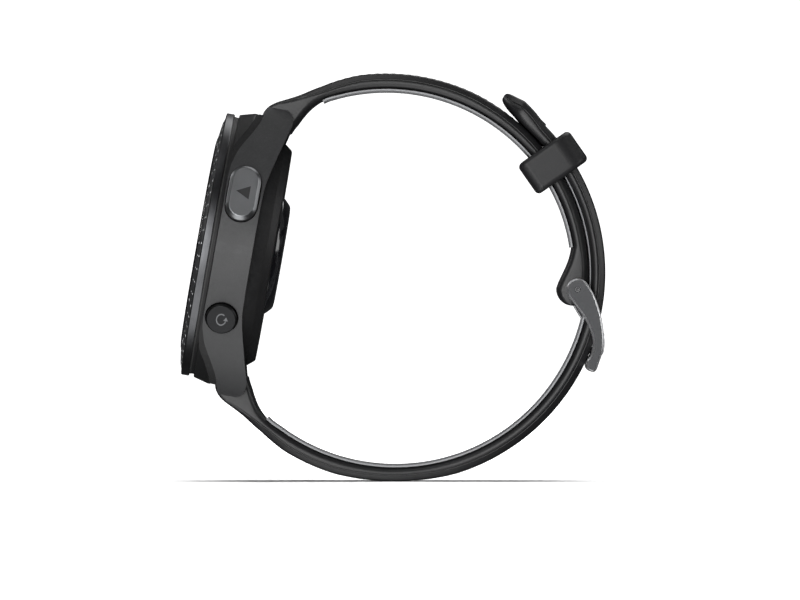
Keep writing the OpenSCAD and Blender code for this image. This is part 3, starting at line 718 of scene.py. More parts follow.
def bake(obj):
    """Applies an object's modifiers."""
    graph = bpy.context.evaluated_depsgraph_get()
    mesh = bpy.data.meshes.new_from_object(obj.evaluated_get(graph))
    obj.modifiers.clear()
    obj.data = mesh
    return obj


def combine(obj, how, *tools):
    """Cuts with, adds or keeps what is inside the tools, which are used up."""
    for tool in tools:
        step = obj.modifiers.new("combine", "BOOLEAN")
        step.operation = how
        step.solver = "EXACT"
        step.object = tool
        bake(obj)
        bpy.data.objects.remove(tool)
    return obj


def soften(obj, width, segments=2, angle=35):
    """Rounds the sharp edges."""
    step = obj.modifiers.new("soften", "BEVEL")
    step.width = width
    step.segments = segments
    step.limit_method = "ANGLE"
    step.angle_limit = math.radians(angle)
    step.use_clamp_overlap = True
    return bake(obj)


def set_piece(obj, name, place, material, body, slot, *nodes, crease=32):
    """Puts a piece in its place, in metres, shades it and hands it to its body."""
    obj.name = name
    obj.data.name = name
    obj.data.transform(place)
    bm = bmesh.new()
    bm.from_mesh(obj.data)
    bmesh.ops.recalc_face_normals(bm, faces=bm.faces)
    for face in bm.faces:
        face.smooth = True
    for edge in bm.edges:
        edge.smooth = len(edge.link_faces) == 2 and edge.calc_face_angle(0) < math.radians(crease)
    bm.to_mesh(obj.data)
    bm.free()
    obj.data.materials.clear()
    obj.data.materials.append(MATERIALS[material])
    even = obj.modifiers.new("even_shading", "WEIGHTED_NORMAL")
    even.keep_sharp = True
    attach(obj, body)
    if nodes:
        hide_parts(*nodes)
    return obj


def head_piece(obj, name, material, slot, *nodes):
    """Sets a fixed piece that is drawn in the head's own axes."""
    return set_piece(obj, name, HEAD, material, "watch", slot, *nodes)


# ---- head ----

# Upper half of the side panel's outline, as [depth, height]
PANEL_EDGE = [
    (3.4, 0), (3.4, 7), (3.4, 13), (3.75, 15), (4.2, 16.5), (4.95, 18), (6.1, 20), (7.1, 22), (7.65, 24),
    (8.1, 25), (9, 25.35), (9.8, 25.4), (11, 25), (12.1, 24.1), (12.55, 22.6), (12.2, 21), (11.4, 18),
    (10.9, 16), (10.4, 14), (10, 12), (9.8, 10), (PANEL_BACK, 5),
]


def panel_outline(ahead=0.0, reach=30.0):
    """Outline of the side panel and its lugs. ahead moves its front edge toward the face near the
    lugs, and nothing goes past reach."""
    half = []
    for depth, height in PANEL_EDGE:
        lug = min(1, max(0, (height - 12) / 6)) if depth < 8 else 0
        half.append((depth - ahead * lug, min(height, reach)))
    middle = Vector((PANEL_BACK, 0))
    top = smooth(half + [middle], 4, closed=False)[:-1]
    return top + [middle] + [Vector((p.x, -p.y)) for p in reversed(top[1:])]


def plan_wall(name, trim):
    """The outline of the case from the front, trim millimetres inside its full size."""
    wide, narrow, tall = 29.6 - trim, 13.1 - trim, 25.4
    wall = prism(name, circle(PANEL_SHIFT, 0, PANEL_CURVE - trim, 300), -1, 14, "X")
    other = prism("other", circle(-PANEL_SHIFT, 0, PANEL_CURVE - trim, 300), -1, 14, "X")
    ends = [(wide, 0), (narrow, tall), (-narrow, tall), (-wide, 0), (-narrow, -tall), (narrow, -tall)]
    return combine(wall, "INTERSECT", other, prism("ends", ends, -2, 15, "X"))


OBLONG_LENGTH = 9.7
OBLONG = stadium(OBLONG_LENGTH, 2.675)
ROUND = circle(0, 0, 2.65, 64)
BUTTONS = [
    ("start", -1, OBLONG_ANGLE), ("back", -1, -ROUND_ANGLE),
    ("light", 1, ROUND_ANGLE), ("up", 1, 0), ("down", 1, -ROUND_ANGLE),
]


def button_cutters():
    """The buttons' openings, with chamfered rims, and their stems' passages, with room for the clips."""
    gap, rim, clip = 0.14, 0.28, 2.4
    pockets, passages = [], []
    for name, side, angle in BUTTONS:
        outline = OBLONG if name == "start" else ROUND
        pockets.append(column("pocket", outline, (
            (-gap, POCKET_FLOOR), (-gap, PANEL_CURVE - 0.12),
            (-rim, PANEL_CURVE + 0.02), (-rim, PANEL_CURVE + 1.8),
        )))
        passages.append(rod("passage", (
            (clip, STEM_END - 5.6), (clip, CLIP_SEAT), (STEM_RADIUS + 0.05, CLIP_SEAT),
            (STEM_RADIUS + 0.05, POCKET_FLOOR + 0.5),
        ), 48))
        for cutter in (pockets[-1], passages[-1]):
            cutter.data.transform(HEAD.inverted() @ at_button(side, angle))
    return pockets + passages


def head_cutters():
    """The round space inside the case, and the gaps between the lugs."""
    bore = lathe("bore", [(0, -2), (19.4, -2), (19.4, 9), (20.4, 9), (20.4, 16), (0, 16)], 200)
    front, back = 6.9, 14.9
    shelf, beyond = 20.9, 29
    gaps = []
    for end in (-1, 1):
        low, high = sorted((end * shelf, end * beyond))
        gap = [(front, low), (back, low), (back, high), (front, high)]
        gaps.append(prism("gap", gap, -LUG_FACE, LUG_FACE))
    return [bore] + gaps


def make_case():
    """The side panels with their lugs, the shoulders just inside them, and the round drum of the case."""
    panel, shoulder = plan_wall("panel", 0), plan_wall("shoulder", 1.1)
    for part, outline, width, segments in (
        (panel, panel_outline(), 0.6, 1), (shoulder, panel_outline(1.25, 23.3), 0.35, 2),
    ):
        combine(part, "INTERSECT", prism("side", outline, -40, 40))
        soften(combine(part, "DIFFERENCE", *head_cutters()), width, segments)
    drum = lathe("drum", [
        (18.6, 2.75), (22.3, 2.75), (22.3, 3.2), (22.74, 3.26), (22.84, 3.36), (23.46, 5.65), (23.5, 5.8),
        (23.5, 6.2), (23.1, 6.9), (20.9, 6.9), (20.9, 9), (18.6, 9),
    ], 300)
    # The shoulders and drum take the darker polymer: painted shade in the recess between bezel and panel.
    for part, name, material, nodes in (
        (panel, "case_panels", "case", ["case_body"]), (shoulder, "case_shoulders", "drum", []),
        (drum, "case_drum", "drum", []),
    ):
        combine(part, "DIFFERENCE", *button_cutters())
        head_piece(part, name, material, "case", *nodes)


# The bezel's sloping front face, as [radius, depth]
CONE = [(18.6, 0.28), (20, 0.5), (21, 0.66), (21.9, 0.98)]


def make_bezel():
    """The metal ring, the sloping inlay on it and sixty minute ticks."""
    ring = lathe("ring", [
        (21.62, 0.98), (22.4, 1.0), (22.66, 1.06), (22.75, 1.2), (22.75, 2.3), (22.68, 2.42), (22.55, 2.45),
        (21.2, 2.45), (21.2, 3), (19.8, 3), (19.8, 2.6), (17.6, 2.6), (17.6, 1.6), (21.4, 1.6),
    ], 300)
    head_piece(ring, "bezel_ring", "bezel", "bezel", "bezel")
    inlay = lathe("inlay", [
        (18.65, 1.55), (18.65, 0.36), (18.72, 0.3), *CONE[1:], (21.98, 1.02), (21.98, 1.1), (21.5, 1.55),
    ], 300)
    head_piece(inlay, "bezel_inlay", "bezel_coat", "bezel")
    long_tick, short_tick, rim = (19.5, 0.16), (20.4, 0.09), 21.7
    bm = bmesh.new()
    for k in range(60):
        inner, half = long_tick if k % 5 == 0 else short_tick
        turned = turn("X", 6 * k)
        corners = [
            (cone_depth(r) - lift, y, r)
            for r in (inner, rim) for y in (-half, half) for lift in (0.035, -0.06)
        ]
        verts = [bm.verts.new(turned @ Vector(c)) for c in corners]
        for face in ((0, 2, 6, 4), (1, 5, 7, 3), (0, 1, 3, 2), (4, 6, 7, 5), (0, 4, 5, 1), (2, 3, 7, 6)):
            bm.faces.new([verts[i] for i in face])
    head_piece(build("ticks", bm), "minute_ticks", "white_print", "bezel")


def cone_depth(r):
    """Depth of the bezel's front face at a radius."""
    for (r0, d0), (r1, d1) in zip(CONE, CONE[1:]):
        if r <= r1:
            return d0 + (d1 - d0) * (r - r0) / (r1 - r0)
    return CONE[-1][1]


def make_crystal():
    """The lens, and the black print on the rim of its back."""
    glass = lathe("glass", [
        (0, 0), (8, 0), (16, 0), (17.2, 0.04), (18.1, 0.16), (18.5, 0.3), (CRYSTAL_RADIUS, 0.42),
        (CRYSTAL_RADIUS, CRYSTAL_BACK), (0, CRYSTAL_BACK),
    ], 200)
    head_piece(glass, "lens_glass", "glass", "crystal", "crystal")
    glass.visible_shadow = False
    mask = lathe("mask", [(16.2, 1.56), (17.5, 1.56), (17.5, 1.59), (16.2, 1.59)], 200)
    head_piece(mask, "lens_mask", "resin", "crystal")


def make_back():
    """The back cover, with its screw holes, charging socket and vent."""
    shell = lathe("shell", [
        (18.4, 9.4), (20.2, 9.4), (20.2, 9.9), (19.3, 11.85), (19.15, 12.05), (18.35, 13.05), (18.1, 13.2),
        (10.35, 13.2), (10.15, 13.1), (10.15, 12.7), (9, 12.7), (9, 12.1), (17.3, 12.1), (18.1, 11.2),
    ])
    cutters = []
    for angle in (45, 135, 225, 315):
        for radius, floor in ((0.6, 11), (1.05, 12.45)):
            hole = prism("hole", circle(0, SCREW_CIRCLE, radius, 40), floor, 15, "X")
            hole.data.transform(turn("X", angle))
            cutters.append(hole)
    cutters.append(prism("socket", [(-3.8, -16), (3.8, -16), (3.8, -12.2), (-3.8, -12.2)], 11, 15, "X"))
    cutters.append(prism("vent", circle(12.6, -5, 0.4, 24), 11, 15, "X"))
    combine(shell, "DIFFERENCE", *cutters)
    soften(shell, 0.08, 2, 40)
    head_piece(shell, "back_shell", "cover", "cover", "back_cover")


def make_window():
    """The raised round window of the sensor."""
    top = HEAD_THICKNESS + 1.5
    dome = lathe("dome", [
        (0, top), (6, top - 0.02), (7.8, top - 0.05), (8.6, top - 0.13), (8.95, top - 0.3), (9.3, top - 0.6),
        (9.95, 13.45), (10.08, 13.2), (10.08, 12.75), (8.95, 12.75), (8.95, 12.2), (8.3, 12.2),
        (8.3, top - 0.8), (0, top - 0.8),
    ], 200)
    head_piece(dome, "optical_window", "window", "window", "sensor_window")


def button_cap(outline, top, bevel):
    """A cap with a bevelled rim and a flat face."""
    shoulder = bevel * 0.92
    return column("cap", outline, (
        (0, CAP_BASE), (0, top - 0.16 - shoulder), (0.05, top - 0.09 - shoulder), (bevel, top - 0.09),
        (bevel + 0.06, top - 0.05), (bevel + 0.14, top - 0.04),
    ))


def make_buttons():
    """The five caps with their stems, and the marks on two of them."""
    for name, side, angle in BUTTONS:
        oblong = name == "start"
        top = BUTTON_TOP
        if oblong:
            lean = math.radians(angle)
            top = (BUTTON_TOP - (OBLONG_LENGTH / 2 - 0.5) * math.sin(lean)) / math.cos(lean)
        cap = button_cap(OBLONG if oblong else ROUND, top, 0.5 if oblong else 0.16)
        combine(cap, "UNION", rod("stem", (
            (STEM_RADIUS - 0.1, STEM_END), (STEM_RADIUS, STEM_END + 0.1), (STEM_RADIUS, CAP_BASE + 0.1),
        ), 32))
        place = at_button(side, angle)
        material = "button" if oblong else "dark_button"
        set_piece(cap, f"{name}_cap", place, material, f"{name}_key", "button", f"{name}_button")
        if name == "start":
            mark = prism("mark", [(-1.25, 0.05), (1.05, -1.15), (1.05, 1.25)], top - 0.2, top - 0.03, "Z")
            set_piece(mark, "start_mark", place, "ink", "start_key", "button")
        if name == "back":
            bow = circle(0, 0, 1.1, 40, 58, 350) + circle(0, 0, 0.88, 40, 58, 350)[::-1]
            bow = [(x * 0.8, y) for x, y in bow]
            arrow = [(0.4, -0.12), (1.18, -0.12), (0.79, 0.56)]
            for k, outline in enumerate((bow, arrow)):
                mark = prism("mark", outline, top - 0.2, top - 0.03, "Z")
                set_piece(mark, f"return_mark_{k}", place, "pale_print", "back_key", "button")


SEGMENTS = {
    "0": "abcdef", "1": "bc", "2": "abged", "3": "abgcd", "4": "fgbc",
    "5": "afgcd", "6": "afgedc", "7": "abc", "8": "abcdefg", "9": "abcdfg",
}


def digit_bars(text, middle, height, weight):
    """Bars of a row of seven-bar numerals at a height, as outlines in [y, z]. The watch is read from
    the face, so rows run toward -Y."""
    wide = height * 0.52
    step = wide + weight * 2.2
    widths = [weight * 2 if c in ".:" else step for c in text]
    at = -sum(widths) / 2
    bars = []
    for c, width in zip(text, widths):
        centre = at + width / 2
        at += width
        if c in ".:":
            heights = [-height / 2 + weight / 2] if c == "." else [-height / 5, height / 5]
            for h in heights:
                bars.append([(centre + x, h + z) for x, z in circle(0, 0, weight * 0.6, 16)])
            continue
        half, tall = wide / 2, height / 2
        ends = {
            "a": ((-half, tall), (half, tall)), "d": ((-half, -tall), (half, -tall)),
            "g": ((-half, 0), (half, 0)), "f": ((-half, 0), (-half, tall)), "b": ((half, 0), (half, tall)),
            "e": ((-half, -tall), (-half, 0)), "c": ((half, -tall), (half, 0)),
        }
        for key in SEGMENTS[c]:
            (x0, z0), (x1, z1) = ends[key]
            along = Vector((x1 - x0, z1 - z0)).normalized()
            across = Vector((-along.y, along.x)) * weight / 2
            first = Vector((x0, z0)) + along * weight * 0.12
            last = Vector((x1, z1)) - along * weight * 0.12
            point = along * weight / 2
            corners = (
                first, first + point + across, last - point + across,
                last, last - point - across, first + point - across,
            )
            bars.append([(centre + p.x, p.y) for p in corners])
    return [[(-x, middle + z) for x, z in bar] for bar in bars]


def make_screen():
    """What the display shows: the time, two plain numbers and a ring of progress."""
    radius, back = 16.6, SCREEN_FRONT + 0.02
    bar_front, bar_back = 1.56, 1.572
    ring, width = 14.9, 0.9
    rule, reach, rise = 0.06, 9, 5.6
    ground = lathe("plate", [(0, SCREEN_FRONT), (radius, SCREEN_FRONT), (radius, back), (0, back)], 160)
    head_piece(ground, "screen_ground", "screen_dark", "display")

    def screen_piece(name, outlines, material):
        bm = bmesh.new()
        for outline in outlines:
            low, high = ([bm.verts.new((depth, *p)) for p in outline] for depth in (bar_back, bar_front))
            bm.faces.new(low)
            bm.faces.new(high)
            bridge(bm, low, high)
        head_piece(build("bars", bm), name, material, "display")

    def arc_band(start, stop):
        outer, inner = (circle(0, 0, ring + side * width / 2, 40, start, stop) for side in (1, -1))
        return outer + inner[::-1]

    screen_piece("screen_time", digit_bars("10:08", 0, 7.4, 1.0), "screen_white")
    screen_piece("screen_upper_number", digit_bars("5.20", 8.6, 3.6, 0.5), "screen_cyan")
    screen_piece("screen_lower_number", digit_bars("142", -8.6, 3.6, 0.5), "screen_amber")
    rules = [
        [(-reach, z - rule), (reach, z - rule), (reach, z + rule), (-reach, z + rule)] for z in (-rise, rise)
    ]
    screen_piece("screen_rules", rules, "screen_grey")
    screen_piece("screen_ring_done", [arc_band(-60, 90)], "screen_cyan")
    screen_piece("screen_ring_left", [arc_band(94, 296)], "screen_grey")


# ---- strap ----

# Half of the strap's section. Each row is [depth below the outside, distance in from the side].
OUTER_SIDE = [
    (0, 1.7), (0.04, 1.3), (0.14, 1.0), (0.3, 0.78), (0.95, 0.3), (1.02, 0.4), (1.12, 0.4), (1.22, 0.1),
    (1.42, 0),
]
PLAIN_SIDE = [
    (0, 1.5), (0.01, 0.9), (0.04, 0.6), (0.1, 0.36), (0.2, 0.2), (0.3, 0.1), (0.42, 0.05), (0.6, 0.02),
    (0.8, 0),
]
DEEP_SIDE = [
    (0, 2.6), (0.08, 2.0), (0.2, 1.5), (0.36, 1.05), (0.55, 0.68), (0.74, 0.4), (0.92, 0.2), (1.08, 0.08),
    (1.3, 0),
]
INNER_SIDE = [(0.98, 0), (0.68, 0.08), (0.4, 0.28), (0.16, 0.62), (0, 1.1)]


def strap_ring(outer, inner, half, band=1.0, groove=0.0, deep=0.0):
    """One closed ring of the strap between an outer and an inner point, [x, z]. groove lowers its
    outside, and deep rounds its outer edge off."""
    outer, inner = Vector(outer), Vector(inner)
    thick = (inner - outer).length
    down = (inner - outer).normalized()
    ease = min(1, thick / STRAP_THICKNESS)
    side = []
    for (t0, s0), (t1, s1), (t2, s2) in zip(PLAIN_SIDE, OUTER_SIDE, DEEP_SIDE):
        t, s = t0 + (t1 - t0) * band, s0 + (s1 - s0) * band
        side.append(((t + (t2 - t) * deep) * ease, s + (s2 - s) * deep))
    side = [(max(t, groove), s) for t, s in [(0, 3.6), (0, 3.0)] + side]
    side += [(thick - t * ease, s) for t, s in INNER_SIDE]
    half_ring = [(outer + down * t, max(0.2, half - s)) for t, s in side]
    right = [(p.x, y, p.y) for p, y in half_ring]
    left = [(p.x, -y, p.y) for p, y in reversed(half_ring)]
    return right + left


def spaced(start, stop, count):
    """Even steps from start up to, but not at, stop."""
    return [start + (stop - start) * k / count for k in range(count)]


def on_circle(centre, radius, angle):
    """The point of a circle at an angle."""
    a = math.radians(angle)
    return Vector((centre[0] + radius * math.cos(a), centre[1] + radius * math.sin(a)))


# The thick ends of the strap between the lugs, as outer and inner points
ROOT_OUTER = [
    (8.0, 25.0), (8.7, 25.6), (9.5, 26.1), (10.3, 26.5), (12, 27.35), (13.3, 28.1), (15, 29.2),
    (16.4, 30.02),
]
ROOT_INNER = [
    (12.75, 21.7), (13.05, 22.3), (13.4, 22.9), (14, 24.1), (14.9, 25.6), (15.9, 26.8), (16.75, 27.55),
    (17.7, 28.2),
]
ROOT_START = [((7.15, 22.6), (8.8, 21.05)), ((7.2, 23.4), (10.5, 21.05)), ((7.45, 24.2), (12.3, 21.05))]


def root_stations(end):
    """Outer and inner points of the thick end that fills the gap between two lugs."""
    pairs = ROOT_START + list(zip(ROOT_OUTER, ROOT_INNER))
    outer = smooth([p[0] for p in pairs], 4, closed=False)
    inner = smooth([p[1] for p in pairs], 4, closed=False)
    last = len(outer) - 1
    return [
        (Vector((o.x, end * o.y)), Vector((i.x, end * i.y)), min(1, max(0, (k / last - 0.5) / 0.5)))
        for k, (o, i) in enumerate(zip(outer, inner))
    ]


def buckle_end():
    """Outer and inner points where the upper half swells around the buckle pin, measured outward and
    along the strap from the pin."""
    swell_middle, swell_radius = -0.62, 2.85
    start, stop, steps = 7.1, -1.2, 12
    outer = []
    for k in range(steps + 1):
        v = start - (start - stop) * k / steps
        outer.append((math.sqrt(INNER_HALF_RADIUS ** 2 - v * v) - PIN_CIRCLE, v))
    inner = smooth([
        (-1.54, 7.4), (-1.62, 6.4), (-1.8, 5.2), (-2.15, 3.9), (-2.65, 2.5), (-3.2, 1.0), (-3.47, -0.1),
    ], 2, closed=False)
    rows = list(zip(outer, inner))
    around = circle(swell_middle, 0, swell_radius, steps, -26, -90)
    back = circle(swell_middle, 0, swell_radius, steps, -180, -92)
    return rows + list(zip(around, back))[1:]


def make_upper_band():
    """The upper half: its root, the ribbed run over the top, the run under the tail, and its end."""
    radius = INNER_HALF_RADIUS + TOP_SHIFT
    rings = [strap_ring(o, i, HALF_WIDTH, band) for o, i, band in root_stations(1)]
    for angle in spaced(UPPER_START, MEET_ANGLE, 280):
        rib = math.radians(angle * 360 / RIB_PITCH)
        groove = RIB_DEPTH * (0.5 + 0.5 * math.sin(rib)) if angle > RIB_STOP else 0
        swell = 0.3 * min(1, (UPPER_START - angle) / 8, (angle - MEET_ANGLE) / 25)
        outer = on_circle(UPPER_MIDDLE, radius + swell, angle)
        inner = on_circle(UPPER_MIDDLE, radius - UPPER_THICKNESS, min(angle, UPPER_START - 1))
        rings.append(strap_ring(outer, inner, HALF_WIDTH, 1, groove))
    for k, angle in enumerate(spaced(MEET_ANGLE, BUCKLE_ANGLE + 13, 100)):
        outer, inner = (on_circle(LOOP_MIDDLE, INNER_HALF_RADIUS - r, angle) for r in (0, UPPER_THICKNESS))
        rings.append(strap_ring(outer, inner, HALF_WIDTH, deep=min(1, k / 10)))
    local = Matrix.Translation(LOOP) @ turn("Y", -BUCKLE_ANGLE) @ shift(PIN_CIRCLE)
    for row in buckle_end():
        outer, inner = (local @ Vector((u, 0, v)) for u, v in row)
        rings.append(strap_ring((outer.x, outer.z), (inner.x, inner.z), HALF_WIDTH, deep=1))
    slot = prism("slot", [(-3.8, -4), (3.6, -4), (3.6, 2.05), (-3.8, 2.05)], -1.35, 1.35)
    hole = prism("hole", circle(0, 0, BORE_RADIUS, 32), -12, 12)
    for cutter in (slot, hole):
        cutter.data.transform(local)
    band = combine(loft("band", rings), "DIFFERENCE", slot, hole, bar_hole(1))
    head_piece(band, "upper_band", "strap", "strap", "upper_strap")


def bar_hole(end):
    """A cutter for the spring bar's bore."""
    return prism("bar_hole", circle(BAR[0], end * BAR[1], BORE_RADIUS, 32), -12, 12)


def skin_ring(outer, inner, rib, trim=0.0):
    """One closed ring of the pale skin, with its inner face raised by a rib."""
    outer, inner = Vector(outer), Vector(inner)
    down = (inner - outer).normalized()
    thick = (inner - outer).length
    ease = min(1, thick / LINER_THICKNESS)
    half_ring = [
        (thick - rib, 0.01), (thick - rib, 7.6), (thick - 0.02 * ease, 8.0), (thick - 0.03 * ease, 8.5),
        (thick - 0.1 * ease, 10.3 - trim), (thick - 0.14 * ease, 10.75 - trim),
        (thick - 0.2 * ease, 10.84 - trim), (0.06, 10.86 - trim), (0, 10.8 - trim), (0, 8), (0, 0.01),
    ]
    right = [(outer + down * t, y) for t, y in half_ring]
    return [(p.x, y, p.y) for p, y in right] + [(p.x, -y, p.y) for p, y in reversed(right)]


def skin(end, stretches):
    """The pale inner skin along one strap half. Stretches are [middle, radius, from, to, thickness]."""
    rings = []
    for x, z in ((16.9, 27.62), (17.7, 28.17), (18.5, 28.56)):
        start = Vector((x, end * z))
        inward = (Vector(LOOP_MIDDLE) - start).normalized()
        rings.append(skin_ring(start - inward * 0.05, start + inward * LINER_THICKNESS, 0.03))
    for middle, radius, start, stop, thick in stretches:
        steps = int(abs(stop - start) * 5)
        for k in range(steps + 1):
            angle = start + (stop - start) * k / steps
            rib = SKIN_RIB * (0.5 + 0.5 * math.cos(math.radians(angle * 360)))
            ends = [on_circle(middle, r, angle) for r in (radius, radius - thick)]
            rings.append(skin_ring(*ends, rib, 0 if thick > 0.4 else 0.6))
    return rings


def make_skins():
    """The pale inner skins of both strap halves."""
    radius = INNER_HALF_RADIUS - UPPER_THICKNESS
    upper = skin(1, [
        (UPPER_MIDDLE, radius + TOP_SHIFT, 114.4, MEET_ANGLE + 0.1, LINER_THICKNESS),
        (LOOP_MIDDLE, radius, MEET_ANGLE, BUCKLE_ANGLE + 13.5, LINER_THICKNESS),
    ])
    head_piece(loft("skin", upper), "upper_skin", "skin", "liner", "upper_liner")
    lower = skin(-1, [
        (LOOP_MIDDLE, LOOP_RADIUS - STRAP_THICKNESS, -116.4, TAIL_START, LINER_THICKNESS),
        (LOOP_MIDDLE, LOOP_RADIUS - TAIL_THICKNESS, TAIL_START + 0.5, LINER_END, 0.27),
    ])
    piece = combine(loft("skin", lower), "DIFFERENCE", *slot_cutters())
    head_piece(piece, "lower_skin", "skin", "liner", "lower_liner")


def slot_cutters():
    """Adjusting slots with a small lead-in on the outside."""
    outline = stadium(5, 1.4, 14)
    steps = [(-6, 0), (-0.22, 0), (0.08, 0.28), (3, 0.28)]
    cutters = []
    for k in range(-5, 4):
        cutter = loft("slot", [
            [(LOOP_RADIUS + rise, p[0], p[1]) for p in inset(outline, -grow)] for rise, grow in steps
        ])
        angle = BUCKLE_ANGLE - SLOT_OFFSET + k * SLOT_PITCH
        cutter.data.transform(Matrix.Translation(LOOP) @ turn("Y", -angle))
        cutters.append(cutter)
    return cutters


# The tail's tip: angle, rise of its outside, depth of its inside below that rise, half width
TIP = [
    (54, 0, 2.42, 11), (55.5, 0.14, 2.56, 11), (57, 0.3, 2.7, 11), (58.5, 0.46, 2.84, 11),
    (60, 0.6, 2.88, 10.95), (61.5, 0.72, 2.86, 10.85), (62.8, 0.82, 2.8, 10.6), (63, 0.82, 2.78, 10.5),
    (64, 0.7, 2.56, 10.1), (65, 0.6, 2.34, 9.6), (66, 0.52, 2.08, 9), (67, 0.44, 1.76, 8.2),
    (67.6, 0.34, 1.46, 7.7), (68, 0.2, 1.15, 7.2), (68.25, 0.02, 0.8, 6.9), (68.4, -0.2, 0.35, 6.6),
]


def make_lower_band():
    """The lower half: its root, the run round the bottom, the tail on the upper half, and the tail's tip."""
    rings = [strap_ring(o, i, HALF_WIDTH, band) for o, i, band in root_stations(-1)]
    for angle in spaced(LOWER_START, TAIL_START, 480):
        # Full on the way up to the buckle and toward the head, and true to size where it rests on the floor
        swell = TAIL_SWELL * min(1, max(0, abs(angle + 80) - 7) / 10) * min(1, (angle - LOWER_START) / 5)
        inner = on_circle(LOOP_MIDDLE, LOOP_RADIUS - STRAP_THICKNESS, max(angle, LOWER_START + 0.8))
        rings.append(strap_ring(on_circle(LOOP_MIDDLE, LOOP_RADIUS + swell, angle), inner, HALF_WIDTH))
    for k, angle in enumerate(spaced(TAIL_START, TAIL_END, 220)):
        step = STRAP_THICKNESS + (TAIL_THICKNESS - STRAP_THICKNESS) * min(1, k / 3)
        step += 0.17 * min(1, max(0, (angle - LINER_END) / 1.5))
        outer, inner = (on_circle(LOOP_MIDDLE, LOOP_RADIUS + r, angle) for r in (TAIL_SWELL, -step))
        rings.append(strap_ring(outer, inner, HALF_WIDTH))
    for angle, rise, thick, half in TIP:
        outer = on_circle(LOOP_MIDDLE, LOOP_RADIUS + TAIL_SWELL + rise, angle)
        rings.append(strap_ring(outer, on_circle(LOOP_MIDDLE, LOOP_RADIUS + rise - thick, angle), half))
    band = loft("band", rings)
    combine(band, "DIFFERENCE", *slot_cutters(), bar_hole(-1))
    head_piece(band, "lower_band", "strap", "strap", "lower_strap")
    outline = [(-0.5, -1.4), (0.2, -1.4), (0.3, -1.3), (0.34, 1.2), (0.26, 1.36), (-0.5, 1.5)]
    nub = plate("nub", outline, 3, [(0.1, 0), (0.03, 0.03), (0, 0.1)])
    place = at_loop(TAIL_END + 2.6, LOOP_RADIUS + 0.24)
    set_piece(nub, "tail_nub", place, "keeper", "watch", "strap")


def rounded_outline(low, high, half, inner_r, outer_r, steps=10):
    """A rounded frame section, [radius, y], with its own corner radius on the inner and outer side."""
    outline = circle(high - outer_r, half - outer_r, outer_r, steps, 90, 0)
    outline += circle(high - outer_r, outer_r - half, outer_r, steps, 0, -90)
    outline += circle(low + inner_r, inner_r - half, inner_r, steps, 270, 180)
    outline += circle(low + inner_r, half - inner_r, inner_r, steps, 180, 90)
    return outline


def make_keeper():
    """The sliding loop that holds the tail down."""
    inner, outer = 29.95, 35.95
    middle = (inner + outer) / 2
    body = prism("keeper", rounded_outline(-5.2, 5.25, 12.8, 1.4, 3.5), -3.1, 3.1, "Z")
    soften(body, 0.85, 5, 40)
    window = rounded_outline(inner - middle, outer - middle, 11.3, 0.25, 0.25, 4)
    lead_in = ((-0.3, -3.6), (-0.3, -3.1), (0, -2.8), (0, 2.8), (-0.3, 3.1), (-0.3, 3.6))
    combine(body, "DIFFERENCE", column("window", window, lead_in))
    place = at_loop(KEEPER_ANGLE, middle)
    set_piece(body, "keeper_band", place, "keeper", "keeper", "keeper", "keeper")


ARM = [
    (1.27, 1.41), (2.4, 0.1), (3.1, -1.05), (3.7, -2.3), (4.3, -3.8), (4.72, -5.25), (5.05, -6.7),
    (5.28, -8.3), (5.3, -9.7), (5.12, -10.8), (4.82, -12), (4.45, -13.35), (3.9, -13.8), (3.2, -13.6),
    (2.72, -13), (2.66, -12), (3.2, -11.1), (3.42, -10), (3.4, -8.7), (3.15, -7.6), (2.7, -6.6),
    (1.9, -5.2), (0.75, -3.7), (-0.37, -2.5), (-1.4, -1.3), (-1.85, -0.4), (-1.85, 0.45), (-1.35, 1.35),
    (-0.5, 1.84), (0.45, 1.84),
]
CROSSBAR = [
    (3.45, -10), (3.8, -9.5), (4.8, -9.5), (5.2, -9.9), (5.1, -10.8), (4.8, -12), (4.43, -13.3),
    (3.9, -13.7), (3.25, -13.5), (2.8, -13), (2.74, -12), (3.2, -11.1),
]
TONGUE = [
    (-1.7, 0.1), (-1.68, -0.9), (-1.2, -2), (-0.32, -2.99), (1.17, -4.96), (2.6, -6.2), (3.95, -7.3),
    (4.5, -8.1), (4.78, -9.2), (4.75, -10.6), (5.3, -10.75), (5.55, -10.2), (5.62, -9.2), (5.6, -8),
    (5.3, -7), (3.9, -5.75), (1.95, -4.05), (1.1, -2.9), (1.35, -1.0), (1.68, 0.2), (1.2, 1.2),
    (0.2, 1.68), (-0.9, 1.4), (-1.5, 0.8),
]


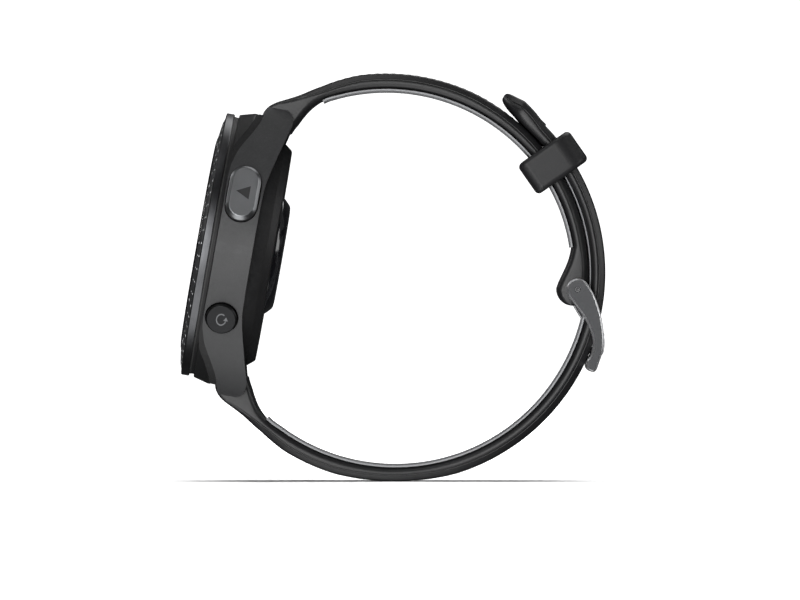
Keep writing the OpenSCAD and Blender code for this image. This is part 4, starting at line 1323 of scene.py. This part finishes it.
def make_buckle():
    """The frame with its two arms, the tongue, and the pin that both turn on."""
    arm_half, bar_half, frame_inside = 0.8, 11.6, 11.35
    arms = []
    for side in (-1, 1):
        arm = plate("arm", smooth(ARM, 5), arm_half, [(0.34, 0), (0.3, 0.01), (0.05, 0.27), (0, 0.4)])
        arm.data.transform(shift(0, side * (frame_inside + arm_half)))
        arms.append(arm)
    bar = plate("bar", smooth(CROSSBAR, 4), bar_half, [(0.1, 0), (0, 0.1)])
    rest = prism("rest", [(4.72, -8.9), (6, -8.9), (6, -11), (4.72, -11)], -1.35, 1.35)
    combine(bar, "DIFFERENCE", rest)
    combine(bar, "UNION", *arms)
    combine(bar, "DIFFERENCE", prism("hole", circle(0, 0, 0.5, 32), -16, 16))
    set_piece(bar, "buckle", BUCKLE, "buckle", "buckle", "buckle", "buckle_frame")
    tongue = plate("tongue", smooth(TONGUE, 4), 1.1, [(0.22, 0), (0.05, 0.12), (0, 0.3)])
    combine(tongue, "DIFFERENCE", prism("hole", circle(0, 0, BORE_RADIUS, 32), -2, 2))
    set_piece(tongue, "tongue", BUCKLE, "buckle", "tongue", "tongue", "buckle_tongue")
    reach, collar = 12.62, 11
    half = [
        (0, reach - 0.12), (0.2, reach - 0.1), (0.3, reach), (0.4, reach), (0.45, reach - 0.08),
        (0.45, collar), (0.9, collar),
    ]
    pin = lathe("pin", [(r, -y) for r, y in half] + half[::-1], 48)
    pin.data.transform(turn("Z", 90))
    set_piece(pin, "pin", BUCKLE, "pin", "watch", "pin", "buckle_pin")


# ---- pieces kept as they are ----

def dress_nodes():
    """Gives every remaining node its finish, and eases its edges a little."""
    buttons = [name for name, side, angle in BUTTONS]
    finishes = {
        "rubber": ["bezel_gasket", "back_gasket", "pressure_vent"] + [f"{name}_seal" for name in buttons],
        "steel": [
            "back_screws", "vibration_motor", "shield_can", "aerial_ring", "key_switches", "bar_tubes",
            "upper_bar_tip", "lower_bar_tip", "upper_bar_spring", "lower_bar_spring",
            *(f"{name}_{part}" for part in ("spring", "clip") for name in buttons),
        ],
        "gold": ["charge_contacts", "sounder"],
        "resin": ["charge_socket", "board_chips", "display_panel", "display_carrier"],
        "board": ["main_board", "sensor_board"],
        "cell": ["battery"],
        "ribbon": ["display_ribbon", "sensor_ribbon", "key_ribbon"],
        "glow": ["sensor_optics"],
    }
    plain = ("rubber", "ribbon")
    for key, names in finishes.items():
        for name in names:
            node = frame["nodes"][name]
            node.data.materials.clear()
            node.data.materials.append(MATERIALS[key])
            if key in plain or "spring" in name:
                continue
            ease = node.modifiers.new("eased_edges", "BEVEL")
            ease.width = 0.06 * MM
            ease.segments = 2
            ease.limit_method = "ANGLE"
            ease.angle_limit = math.radians(40)


place_camera()
light_studio(lay_floor())

MATERIALS = {
    "case": case_polymer(), "drum": recess_shade_polymer(), "cover": cover_polymer(), "bezel": bezel_metal(),
    "bezel_coat": bezel_coat(), "white_print": white_print(), "pale_print": pale_print(),
    "button": button_metal(), "dark_button": dark_button(), "ink": mark_ink(), "strap": strap_silicone(),
    "keeper": keeper_silicone(), "skin": skin_silicone(), "buckle": buckle_metal(), "pin": pin_steel(),
    "rubber": rubber(), "steel": steel(), "gold": gold(), "resin": black_resin(), "cell": cell_foil(),
    "board": circuit_board(), "ribbon": flex_ribbon(), "glass": clear_glass(), "window": window_glass(),
    "screen_dark": lit("screen_dark", (0.01, 0.012, 0.015), 0.2),
    "screen_white": lit("screen_white", (0.9, 0.92, 0.95), 1.0),
    "screen_cyan": lit("screen_cyan", (0.05, 0.65, 0.8), 1.0),
    "screen_amber": lit("screen_amber", (0.95, 0.5, 0.08), 1.0),
    "screen_grey": lit("screen_grey", (0.16, 0.17, 0.19), 0.8),
    "glow": lit("sensor_green", (0.12, 0.3, 0.14), 0.3),
}

make_case()
make_bezel()
make_crystal()
make_screen()
make_back()
make_window()
make_buttons()
make_upper_band()
make_lower_band()
make_skins()
make_keeper()
make_buckle()
dress_nodes()
